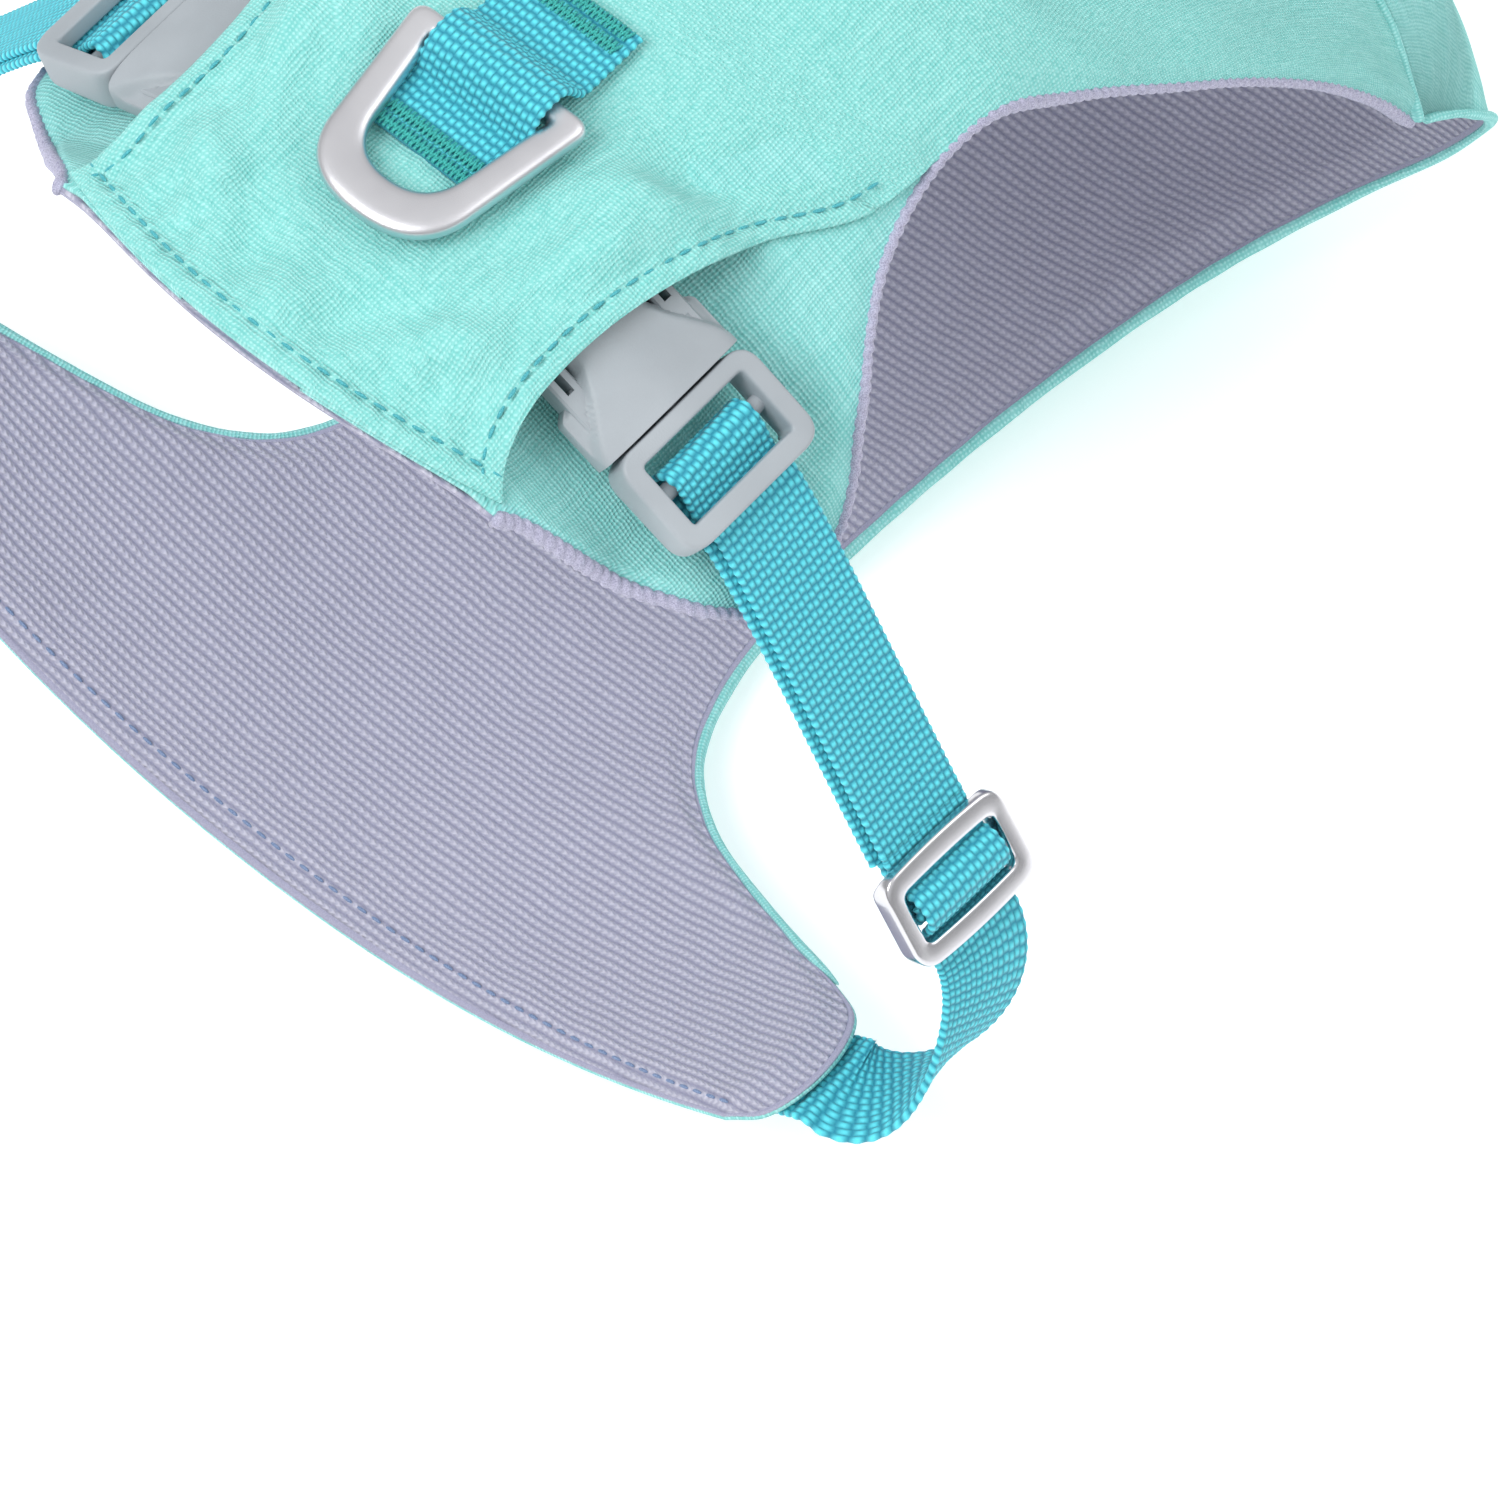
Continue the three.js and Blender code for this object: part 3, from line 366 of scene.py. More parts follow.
def rib_knit_group():
    """Ridges across the panel, each of them a row of small loops that lean one way and then the other. Its
    Shade is painted shade in the grooves between the ridges, lighter on the ridges and loops, with fuzz of
    real tone.
    """
    tree, given, result = group(
        "Rib knit",
        [("Cloth", VECTOR, None), ("Rib", FLOAT, RIB), ("Loop", FLOAT, LOOP)],
        [("Height", FLOAT), ("Shade", FLOAT)],
    )
    drift = noise(tree, given["Cloth"], 0.09, 1.0)
    split = node(tree, "ShaderNodeSeparateXYZ", {0: given["Cloth"]}).outputs
    x = sum_of(tree, "MULTIPLY_ADD", drift, 0.7, split[0])
    rib = wave(tree, x, given["Rib"])
    lean = sum_of(tree, "MULTIPLY", sum_of(tree, "ABSOLUTE", sum_of(tree, "ADD", rib, -0.5)), 0.9)
    loop = wave(tree, sum_of(tree, "ADD", split[1], lean), given["Loop"])
    fuzz = noise(tree, given["Cloth"], 1.9, 3.0)
    ridge = sum_of(tree, "POWER", rib, 0.7)
    loops = sum_of(tree, "MULTIPLY", loop, ridge)
    body = sum_of(tree, "MULTIPLY_ADD", loops, 0.75, sum_of(tree, "MULTIPLY", ridge, 0.7))
    tree.links.new(sum_of(tree, "MULTIPLY_ADD", fuzz, 0.5, body), result["Height"])
    # painted shade in the grooves between the ridges, lighter on ridges and loops, plus fuzz of real tone
    shade = sum_of(tree, "MULTIPLY_ADD", fuzz, 0.35, sum_of(tree, "MULTIPLY", body, 0.5))
    tree.links.new(shade, result["Shade"])
    return tree


def grain_group():
    """Fine moulded or blasted grain, with a slow change over the whole piece."""
    tree, given, result = group(
        "Fine grain",
        [("Place", VECTOR, None), ("Size", FLOAT, 1500.0)],
        [("Height", FLOAT), ("Drift", FLOAT)],
    )
    tree.links.new(noise(tree, given["Place"], given["Size"], 3.0), result["Height"])
    tree.links.new(noise(tree, given["Place"], 45.0, 3.0), result["Drift"])
    return tree


WEAVE = plain_weave_group()
KNUCKLES = webbing_group()
RIB_KNIT = rib_knit_group()
GRAIN = grain_group()

# ---------------------------------------------------------------- materials


def linear(red, green, blue):
    """A colour given as the eye reads it, from 0 to 255, as light."""
    share = np.array([red, green, blue]) / 255.0
    light = np.where(share <= 0.04045, share / 12.92, ((share + 0.055) / 1.055) ** 2.4)
    return (*[float(x) for x in light], 1.0)


def finish(name, constants):
    """A material with one Principled shader, and its tree and shader."""
    material = bpy.data.materials.new(name)
    material.use_nodes = True
    tree = material.node_tree
    shader = tree.nodes["Principled BSDF"]
    for key, value in constants.items():
        shader.inputs[key].default_value = value
    return material, tree, shader


def shaded(tree, shader, amount, low, high, stops=(0.2, 0.9)):
    """Base colour from low to high as the amount grows."""
    inputs = {0: rescaled(tree, amount, *stops), 6: low, 7: high}
    colour = node(tree, "ShaderNodeMix", inputs, data_type="RGBA").outputs[2]
    tree.links.new(colour, shader.inputs["Base Color"])


def raised(tree, shader, height, depth):
    """Bump of a depth in metres, from a height of about 0 to 1."""
    bump = node(tree, "ShaderNodeBump", {"Height": height, "Strength": 1.0, "Distance": depth})
    tree.links.new(bump.outputs[0], shader.inputs["Normal"])


def cloth_of(tree):
    """The piece's own cloth attribute: millimetres along, millimetres across, and from the free edge."""
    return node(tree, "ShaderNodeAttribute", attribute_name="cloth").outputs["Vector"]


def grain_of(tree, size):
    """Fine grain at the piece's own place."""
    place = node(tree, "ShaderNodeTexCoord").outputs["Object"]
    return pattern(tree, GRAIN, Place=place, Size=size)


FABRIC = {"Roughness": 0.86, "Specular IOR Level": 0.25, "Sheen Weight": 0.12, "Sheen Roughness": 0.5}


def canvas(name, low, high, hemmed):
    """Woven canvas; near a hem the doubled edge stands up and its stitch line pulls down."""
    material, tree, shader = finish(name, FABRIC)
    cloth = cloth_of(tree)
    weave = pattern(tree, WEAVE, Cloth=cloth, Pitch=0.76, Slub=0.4)
    shaded(tree, shader, weave["Shade"], low, high, (0.2, 0.85))
    height = weave["Height"]
    if hemmed:
        edge = node(tree, "ShaderNodeSeparateXYZ", {0: cloth}).outputs[2]
        band = rescaled(tree, edge, HEM_FOLD, HEM_FOLD + 1.0, 3.4, 0.0)
        off_line = sum_of(tree, "ABSOLUTE", sum_of(tree, "SUBTRACT", edge, HEM_SEAM))
        groove = rescaled(tree, off_line, 0.0, 1.3, -3.2, 0.0)
        height = sum_of(tree, "ADD", height, sum_of(tree, "ADD", band, groove))
    raised(tree, shader, height, 0.00012)
    return material


def knit(name, low, high):
    """Ribbed knit, dull and a little fuzzy, its colour darker in the grooves between the ribs as painted
    shade.
    """
    material, tree, shader = finish(name, {**FABRIC, "Roughness": 0.95, "Sheen Weight": 0.25})
    ribs = pattern(tree, RIB_KNIT, Cloth=cloth_of(tree), Rib=RIB, Loop=LOOP)
    shaded(tree, shader, ribs["Shade"], low, high, (0.12, 0.8))
    raised(tree, shader, ribs["Height"], 0.00028)
    return material


def strap_cloth(name, low, high):
    """Webbing with a slight sheen; its colour is a painted highlight on the yarns' knuckles and painted shade
    between them.
    """
    material, tree, shader = finish(name, {**FABRIC, "Roughness": 0.62, "Specular IOR Level": 0.45})
    yarns = pattern(tree, KNUCKLES, Cloth=cloth_of(tree), Yarn=YARN, Pick=PICK)
    shaded(tree, shader, yarns["Shade"], low, high, (0.1, 0.95))
    raised(tree, shader, yarns["Height"], 0.0003)
    return material


def thread(name, low, high):
    """Spun thread, cord or foam: grain only, with no cloth coordinates."""
    material, tree, shader = finish(name, {**FABRIC, "Roughness": 0.55, "Specular IOR Level": 0.5})
    grain = grain_of(tree, 4000.0)
    shaded(tree, shader, grain["Height"], low, high, (0.35, 0.65))
    raised(tree, shader, grain["Height"], 0.0001)
    return material


def hard(name, low, high, grain_size, grain_depth, constants):
    """Moulded plastic, blasted or polished metal: grain, and a slow drift of colour and roughness."""
    material, tree, shader = finish(name, constants)
    grain = grain_of(tree, grain_size)
    shaded(tree, shader, grain["Drift"], low, high, (0.3, 0.7))
    middle = constants["Roughness"]
    rough = rescaled(tree, grain["Drift"], 0.3, 0.7, middle * 0.85, middle * 1.15)
    tree.links.new(rough, shader.inputs["Roughness"])
    raised(tree, shader, grain["Height"], grain_depth)
    return material


MINT = canvas("Mint canvas", linear(118, 200, 195), linear(172, 233, 229), True)
MINT_UNDER = canvas("Mint canvas of the flaps", linear(120, 200, 196), linear(176, 236, 234), False)
# low colour: painted shade in the knit's grooves; high colour: its ridges and loops
LAVENDER = knit("Lavender rib knit", linear(134, 135, 160), linear(194, 194, 210))
# low colour: painted shade between the knuckles; high colour: painted highlight on their tops
TEAL = strap_cloth("Teal webbing", linear(16, 132, 158), linear(92, 222, 236))
CORD = thread("Lavender binding", linear(140, 140, 166), linear(190, 189, 212))
STITCH = thread("Teal sewing thread", linear(48, 146, 158), linear(84, 186, 194))
BELLY_STITCH = thread("Blue-grey sewing thread", linear(96, 118, 156), linear(132, 152, 186))
TACK = thread("Bartack thread", linear(22, 142, 138), linear(58, 186, 178))
FOAM = thread("Open foam", linear(150, 150, 174), linear(170, 170, 192))
PLASTIC = hard("Grey moulded plastic", linear(149, 156, 162), linear(165, 172, 178), 2600.0, 0.00004,
               {"Roughness": 0.46, "Specular IOR Level": 0.45})
BLASTED = hard("Bead-blasted aluminium", linear(206, 206, 211), linear(222, 222, 226), 5200.0, 0.00003,
               {"Roughness": 0.36, "Metallic": 1.0})
CHROME = hard("Polished plate", linear(206, 206, 211), linear(222, 222, 226), 900.0, 0.000004,
              {"Roughness": 0.2, "Metallic": 1.0})

# ---------------------------------------------------------------- panels


def spine_rib(x, edge_x, edge_y):
    """A rib from the back's middle line to an edge point on the back's own circle."""
    drop = BACK_RADIUS - math.sqrt(BACK_RADIUS**2 - edge_y**2)
    return [(x, 0.0, 0.0), (edge_x, edge_y, -drop)]


ARM_RIBS = [
    [(135, 0, 0), (145, 62, -32)],
    [(142, 13, -2.5), (163, 68, -46)],
    [(156, 25, -10), (181, 73, -61)],
    [(176, 35, -25), (197, 77, -78)],
    [(198, 43, -45), (209, 80, -95)],
    [(217, 50, -66), (216, 82, -108)],
]
UNDER_RIBS = [
    spine_rib(0, 11, 48.5), spine_rib(9, 19, 62.5), spine_rib(19, 27, 75), spine_rib(31, 37, 82),
    spine_rib(45, 49, 84), spine_rib(58, 60, 82), spine_rib(71, 72, 75), spine_rib(88, 92, 62.5),
    spine_rib(106, 112, 57.5), spine_rib(122, 128, 58.5), *ARM_RIBS,
]
COVER_RIBS = [
    spine_rib(0, 11, 48.5), spine_rib(9, 16, 44.5), spine_rib(19, 23, 41.5), spine_rib(31, 33, 40.5),
    spine_rib(45, 46, 41), spine_rib(58, 61, 43.5), spine_rib(71, 77, 48), spine_rib(88, 94, 55.5),
    spine_rib(106, 112, 57.5), spine_rib(122, 128, 58.5), *ARM_RIBS,
]
CHEST_RIBS = [
    [(-8, 0, -172), (-3, 110, -139.5)], [(-2, 0, -172), (0.5, 116, -136)], [(6, 0, -172), (8, 119, -134)],
    [(14, 0, -172), (18, 119, -133.5)], [(21, 0, -172), (25, 116, -134.5)],
    [(28, 0, -172), (29.5, 108, -138.5)], [(35, 0, -172), (34, 94, -145.5)], [(42, 0, -172), (40, 77, -154)],
    [(50, 0, -172), (47, 62, -160.5)], [(61, 0, -172), (58, 50, -165)], [(77, 0, -172), (76, 43, -167.5)],
    [(98, 0, -172), (98, 41.5, -167.5)], [(122, 0, -171.5), (124, 43.5, -165)],
    [(150, 0, -169.5), (156, 49, -160)], [(180, 0, -164), (188, 58, -153)],
    [(206, 0, -154), (213, 69, -145.5)], [(228, 0, -139), (229, 79, -137)],
    [(244, 0, -121), (235, 84, -128)], [(253, 0, -102), (233, 86, -120.5)],
    [(256, 0, -88), (229, 86, -115.5)], [(253, 17, -83.5), (225.5, 85, -112.3)],
    [(244, 33, -77), (222, 84, -110.2)], [(231, 44, -71), (219, 83, -109)],
    [(217.5, 50.2, -66.6), (216.6, 82.2, -108.5)],
]


def circle_rise(v, outer):
    """Share of the drop at v when a row follows a circle."""
    end = np.minimum(0.9, outer[..., 1] / BACK_RADIUS)
    return (1.0 - np.sqrt(1.0 - (end * v) ** 2)) / (1.0 - np.sqrt(1.0 - end**2))


def belly_rise(v, outer):
    """Share of the rise at v in the belly: flat in the middle, steeper to the edge."""
    return v**2.2


def rib_surface(ribs, rise, u, v):
    """Between a curve through the ribs' inner points and one through the outer: X as the square of v,
    Y evenly, Z by the rise."""
    ribs = np.array(ribs, float)
    inner = spline(ribs[:, 0], u)[:, None]
    outer = spline(ribs[:, 1], u)[:, None]
    inner[..., 1] = np.where(inner[..., 1] < 0.02, 0.0, inner[..., 1])
    across = np.asarray(v, float)[None, :]
    x = inner[..., 0] + (outer[..., 0] - inner[..., 0]) * across**2
    y = inner[..., 1] + (outer[..., 1] - inner[..., 1]) * across
    z = inner[..., 2] + (outer[..., 2] - inner[..., 2]) * rise(across, outer)
    return np.stack([x, y, z], -1)


def over_buckle(x, y, inner, outer):
    """1 over a buckle and 0 away from it."""
    half = BUCKLE_WIDTH / 2
    along = 1.0 - ramp(np.abs(x - BUCKLE_X), half + 2, half + 17)
    return along * ramp(np.abs(y), inner, inner + 14) * (1.0 - ramp(np.abs(y), outer, outer + 14))


def lifted(points, amount):
    """Moves points of the back along the arch's own normal."""
    tilt = np.minimum(0.9, np.abs(points[..., 1]) / BACK_RADIUS) * np.sign(points[..., 1])
    outward = np.stack([np.zeros_like(tilt), tilt, np.sqrt(1.0 - tilt**2)], -1)
    return points + outward * amount[..., None]


def crinkle(x, y, seed):
    """Soft uneven folds of cloth, about -1 to 1: a sum of slanted waves of several lengths."""
    rng = np.random.default_rng(seed)
    total = np.zeros(np.broadcast(x, y).shape)
    for size in (62.0, 41.0, 27.0, 18.0, 12.5):
        turn, phase = rng.uniform(0, 2 * math.pi, 2)
        bend = 0.8 * np.sin((x * math.sin(turn) - y * math.cos(turn)) / size * 2.3 + phase)
        slant = (x * math.cos(turn) + y * math.sin(turn)) / size * 6.0
        total = total + size**0.5 / 8.0 * np.sin(slant + bend + phase)
    return total / 2.0


def measured(points, outward_from):
    """A half panel's points with normals, distances to its long edges, and cloth coordinates."""
    du = np.gradient(points, axis=0)
    dv = np.gradient(points, axis=1)
    normals = unit(np.cross(du, dv))
    away = points - np.array(outward_from)
    turned = float(np.sum(normals * away)) < 0
    if turned:
        normals = -normals
    spine = np.abs(points[:, :1, 1:2]) < 1e-6
    normals[:, :1] = unit(np.where(spine, normals[:, :1] * [1.0, 0.0, 1.0], normals[:, :1]))
    step = np.linalg.norm(np.diff(points, axis=1), axis=-1)
    across = np.concatenate([np.zeros((len(points), 1)), np.cumsum(step, axis=1)], axis=1)
    run = np.linalg.norm(np.diff(points[..., 1:], axis=1), axis=-1)
    cloth_y = np.concatenate([np.zeros((len(points), 1)), np.cumsum(run, axis=1)], axis=1)
    start = np.arcsin(np.clip(points[:, :1, 1] / BACK_RADIUS, 0, 0.95)) * BACK_RADIUS
    lengthwise = np.linalg.norm(np.diff(points, axis=0), axis=-1)
    from_hem = np.concatenate([np.zeros((1, points.shape[1])), np.cumsum(lengthwise, axis=0)], axis=0)
    slope_run = from_hem[:, :1] - (points[:, :1, 0] - points[0, 0, 0])
    return {
        "points": points,
        "normals": normals,
        "turned": turned,
        "outer": across[:, -1:] - across,
        "inner": np.where(points[:, :1, 1] > 1e-6, across, 1e3),
        "hem": from_hem,
        "cloth": np.stack([points[..., 0] + slope_run, cloth_y + start, across], -1),
    }


def sheet_of(panel, depth, thickness, cloth_z=None, rows=slice(None), columns=slice(None), half=None):
    """A closed layer of a panel whose middle lies at a depth under its outer surface."""
    points = panel["points"][rows, columns]
    normals = panel["normals"][rows, columns]
    cloth = panel["cloth"][rows, columns].copy()
    cloth[..., 2] = FLAT_CLOTH if cloth_z is None else cloth_z[rows, columns]
    depth = np.broadcast_to(depth, panel["points"].shape[:2])[rows, columns][..., None]
    thickness = np.broadcast_to(thickness, panel["points"].shape[:2])[rows, columns][..., None]
    quads = grid_quads(*points.shape[:2])
    if panel["turned"]:
        quads = quads[:, ::-1]
    outer = (points - normals * (depth - thickness / 2)).reshape(-1, 3)
    inner = (points - normals * (depth + thickness / 2)).reshape(-1, 3)
    cloth = cloth.reshape(-1, 3)
    if half is None:
        outer, all_quads, all_cloth = both_halves(outer, quads, cloth)
        inner = both_halves(inner, quads, cloth)[0]
        return shell(outer, inner, all_quads, all_cloth)
    if half < 0:
        turned = np.array([1.0, -1.0, 1.0])
        return shell(outer * turned, inner * turned, quads[:, ::-1], cloth * turned)
    return shell(outer, inner, quads, cloth)


def edge_line(panel, rows, column, depth, outward):
    """A path beside one long edge of a half panel, with the panel's normals there."""
    points = panel["points"][rows, column]
    normals = panel["normals"][rows, column]
    inward = panel["points"][rows, -2 if column == -1 else 1] - points
    run = np.gradient(points, axis=0)
    out = unit(np.cross(run, normals))
    out = out * -np.sign(np.sum(out * inward, axis=1, keepdims=True))
    return points + out * outward - normals * depth, normals


def mirrored(points, sign):
    """The points for the left side (1), or their mirror image for the right (-1)."""
    return points if sign > 0 else points * np.array([1.0, -1.0, 1.0])


FINE = 10         # grid rows between two ribs of the back
CHEST_FINE = 7    # and of the chest panel
under_u = np.linspace(0, 1, FINE * (len(UNDER_RIBS) - 1) + 1)
under_v = 1.0 - (1.0 - np.linspace(0, 1, 71)) ** 1.35
chest_u = np.linspace(0, 1, CHEST_FINE * (len(CHEST_RIBS) - 1) + 1)
chest_v = 1.0 - (1.0 - np.linspace(0, 1, 75)) ** 1.25
MOUTH_ROWS = int(7.4 * FINE)
FLAP_ROWS = int(8.6 * FINE)
SPINE_ROWS = 10 * FINE
TORSO_MIDDLE = (90.0, 0.0, -86.0)

under_points = rib_surface(UNDER_RIBS, circle_rise, under_u, under_v)
under_points = lifted(under_points, -DIP * over_buckle(under_points[..., 0], under_points[..., 1], 2, 66))
under = measured(under_points, TORSO_MIDDLE)
cover_points = rib_surface(COVER_RIBS, circle_rise, under_u, under_v)
cover_points = lifted(cover_points, HUMP * over_buckle(cover_points[..., 0], cover_points[..., 1], 16, 70))
cover = measured(cover_points, TORSO_MIDDLE)
chest = measured(rib_surface(CHEST_RIBS, belly_rise, chest_u, chest_v), TORSO_MIDDLE)


def pinch(panel, hem_reach):
    """1 at a bound or sewn edge and 0 a little way inside it."""
    reach = 9.0
    close = np.minimum(panel["outer"], panel["inner"])
    close = np.minimum(close, panel["hem"] * reach / hem_reach)
    return 1.0 - ramp(close, 0.0, reach)


def back_panel():
    """Cover with two pocket mouths, padding pulled in at its edges, and the knit lining."""
    cx, cy = cover["cloth"][..., 0], cover["cloth"][..., 1]
    rows = np.arange(len(under_u))[:, None]
    mouth = 1.0 - ramp(rows, MOUTH_ROWS - 4, MOUTH_ROWS + 6)
    free_edge = np.minimum(cover["hem"], cover["outer"] + 60.0 * (1.0 - mouth))
    hem_pull = np.exp(-np.maximum(free_edge - 4.0, 0.0) / 6.0) * ramp(free_edge, 0.3, 3.0)
    along_edge = cx + 1.3 * cy
    pucker = np.sin(along_edge / 1.35 + 1.5 * np.sin(along_edge / 7.0)) * hem_pull * 0.22
    near_hem = 0.7 + 2.0 * (1.0 - ramp(free_edge, 10.0, 34.0))
    folds = crinkle(cx, cy, 4) * near_hem * ramp(free_edge, 1.0, 12.0)
    gathers = np.sin(cy / 1.75 + 1.6 * np.sin(cy / 6.3 + cx / 8.0)) * ramp(cover["hem"], 3.0, 9.0)
    folds = folds + 0.42 * gathers * (1.0 - ramp(cover["hem"], 12.0, 38.0))
    bound = 1.0 - ramp(np.minimum(cover["outer"] + 60.0 * mouth, cover["inner"]), 0.0, 8.0)
    depth = 0.4 - pucker - folds * (1.0 - bound) + 1.5 * bound
    doubled = 1.0 - ramp(free_edge, 4.3, 5.2)
    seam = np.exp(-(((free_edge - HEM_SEAM) / 0.75) ** 2))
    thickness = 0.8 + 1.2 * doubled * (0.35 + 0.65 * ramp(free_edge, 0.0, 0.9)) - 0.35 * seam * doubled
    depth = depth - 0.15 * doubled + 0.4 * seam
    piece = build("back_canvas", *with_material(sheet_of(cover, depth, thickness, free_edge), MINT))
    finish_sheet(piece, "vest", ["back_cover"])

    squeezed = pinch(under, 7.0)
    pad = sheet_of(under, 3.5 + 0.3 * squeezed, 2.5 * (1.0 - 0.8 * squeezed))
    piece = build("back_pad", *with_material(pad, FOAM))
    dress(piece, "vest", ["back_padding"])

    folds = crinkle(under["cloth"][..., 0], under["cloth"][..., 1], 9) * 0.25
    lining = sheet_of(under, 5.5 - 2.3 * squeezed - folds * (1.0 - squeezed), 0.9)
    piece = build("back_knit", *with_material(lining, LAVENDER))
    finish_sheet(piece, "vest", ["back_lining"])

    flap_columns = slice(int(0.22 * len(under_v)), None)
    for side, sign in SIDES:
        near_edge = 1.0 - ramp(under["outer"], 0.0, 7.0)
        rows = slice(0, FLAP_ROWS)
        flap = sheet_of(under, 1.5 + 0.9 * near_edge, 0.8, rows=rows, columns=flap_columns, half=sign)
        piece = build(f"flap_canvas_{side}", *with_material(flap, MINT_UNDER))
        nodes = [f"flap_cover_{side}"]
        finish_sheet(piece, "vest", nodes)
        line, normals = edge_line(under, slice(None), -1, CORD_DEPTH, CORD_OUT)
        line, normals = mirrored(line, sign), mirrored(normals, sign)
        piece = twisted_cord(f"back_edge_{side}", line, normals, CORD_WIDE, CORD_HIGH)
        dress(piece, "vest", [f"back_binding_{side}"])
    line, normals = edge_line(under, slice(SPINE_ROWS, None), 0, CORD_DEPTH, CORD_OUT)
    line[0, 1] = 0.0
    line, normals = (np.concatenate([mirrored(half, -1)[:0:-1], half]) for half in (line, normals))
    piece = twisted_cord("neck_edge", line, normals, CORD_WIDE, CORD_HIGH)
    dress(piece, "vest", ["neck_binding_back"])


def chest_panel():
    """Belly wings and bib: canvas outside, knit inside, pulled together at every edge."""
    squeezed = pinch(chest, 8.0)
    cx, cy = chest["cloth"][..., 0], chest["cloth"][..., 1]
    folds = crinkle(cx, cy, 21) * 0.45 * (1.0 - squeezed)
    edge = np.minimum(chest["outer"], chest["hem"])
    canvas_sheet = sheet_of(chest, 0.4 + 1.5 * squeezed - folds, 0.8)
    piece = build("belly_canvas", *with_material(canvas_sheet, MINT_UNDER))
    finish_sheet(piece, "vest", ["chest_cover"])
    pad = sheet_of(chest, 2.4, 2.5 * (1.0 - 0.82 * squeezed))
    piece = build("belly_pad", *with_material(pad, FOAM))
    dress(piece, "vest", ["chest_padding"])
    inset = chest_inset()
    soft = crinkle(cx, cy, 33) * 0.5 * (1.0 - squeezed)
    lining = sheet_of(inset, 4.45 - 1.75 * squeezed + soft, 0.9 - 0.35 * squeezed, edge)
    piece = build("belly_knit", *with_material(lining, LAVENDER))
    finish_sheet(piece, "vest", ["chest_lining"])
    for side, sign in SIDES:
        line, normals = edge_line(chest, slice(5 * CHEST_FINE, None), -1, 1.7, 0.35)
        piece = rolled_edge(f"belly_edge_{side}", mirrored(line, sign), mirrored(normals, sign), 0.85, 1.35)
        dress(piece, "vest", [f"chest_binding_{side}"])


def shoulder_seams():
    """A flat roll of canvas over the seam where each shoulder arm meets the bib, and the bib's neck edge."""
    for side, sign in SIDES:
        seam = under["points"][-1] - under["normals"][-1] * 2.6
        ahead = unit(under["points"][-1] - under["points"][-3])
        line = mirrored(seam + ahead * 0.15, sign)
        piece = rolled_edge(f"shoulder_seam_{side}", line, mirrored(under["normals"][-1], sign), 1.1, 2.9)
        dress(piece, "vest")
        line, normals = edge_line(chest, slice(19 * CHEST_FINE + 1, None), 0, 2.3, 0.5)
        piece = twisted_cord(f"bib_edge_{side}", mirrored(line, sign), mirrored(normals, sign), 1.2, 1.7)
        dress(piece, "vest")


def chest_inset():
    """The chest panel drawn in a little at its rear edge and wing tips, where the canvas shows."""
    inset = dict(chest)
    points = chest["points"].copy()
    run = unit(np.gradient(points, axis=1))
    ahead = unit(np.gradient(points, axis=0))
    points = points - run * (1.3 * (1.0 - ramp(chest["outer"], 0.0, 12.0)))[..., None]
    points = points + ahead * (1.3 * (1.0 - ramp(chest["hem"], 0.0, 12.0)))[..., None]
    inset["points"] = points
    return inset


# ---------------------------------------------------------------- dressing a piece


def with_material(made, material):
    """A layer's (points, quads, cloth) in the order that build() takes them."""
    points, quads, cloth = made
    return points, quads, material, cloth


def dress(piece, body, nodes=()):
    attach(piece, body)
    if nodes:
        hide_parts(*nodes)


def finish_sheet(piece, body, nodes):
    """Dresses a piece of cloth."""
    dress(piece, body, nodes)


# ---------------------------------------------------------------- cords, stitches and straps


def tube(path, ups, wide, high, count, bulge=1.0):
    """A closed tube: at each point of the path an ellipse, wide across and high along the up vectors,
    times a bulge that may change along and around. Its ends draw in to a point."""
    run = unit(np.gradient(path, axis=0))
    across = unit(np.cross(run, ups))
    up = np.cross(across, run)
    angle = around(count)
    size = np.broadcast_to(bulge, (len(path), count)).copy()
    size[0] = size[-1] = 1e-3
    wide = np.broadcast_to(wide, len(path))[:, None]
    high = np.broadcast_to(high, len(path))[:, None]
    ring = across[:, None] * (np.cos(angle) * wide * size)[..., None]
    ring = ring + up[:, None] * (np.sin(angle) * high * size)[..., None]
    points = (path[:, None] + ring).reshape(-1, 3)
    along = np.broadcast_to(lengths(path)[:, None], size.shape)
    cloth = np.stack([along, angle * wide, np.zeros_like(along)], -1).reshape(-1, 3)
    return points, grid_quads(len(path), count, round_columns=True), cloth


def twisted_cord(name, line, ups, wide, high):
    """Edge binding: an oval tube whose two plies wind round it, so its bulge is a cosine of the angle
    less the twist along it."""
    path, up = evenly(line, 0.42, ups)
    along = lengths(path)[:, None]
    twist = np.abs(np.sin(around(16) + along * 2 * math.pi / CORD_TWIST + 0.3 * np.sin(along / 9.0)))
    bulge = 0.74 + 0.32 * twist + 0.02 * np.sin(along * 2.1)
    points, quads, cloth = tube(path, unit(up), wide, high, 16, bulge)
    return build(name, points, quads, CORD, cloth)


def rolled_edge(name, line, ups, wide, high):
    """Canvas folded over the edge: an oval tube, a little uneven along its length."""
    path, up = evenly(line, 0.8, ups)
    along = lengths(path)[:, None]
    start = 0.3 + 0.7 * ramp(along, 0.0, 9.0)
    bulge = start + 0.05 * np.sin(along / 2.3 + 2.0 * np.sin(along / 11.0))
    points, quads, cloth = tube(path, unit(up), wide, high, 14, bulge)
    return build(name, points, quads, MINT_UNDER, cloth + np.array([0.0, 0.0, FLAT_CLOTH]))


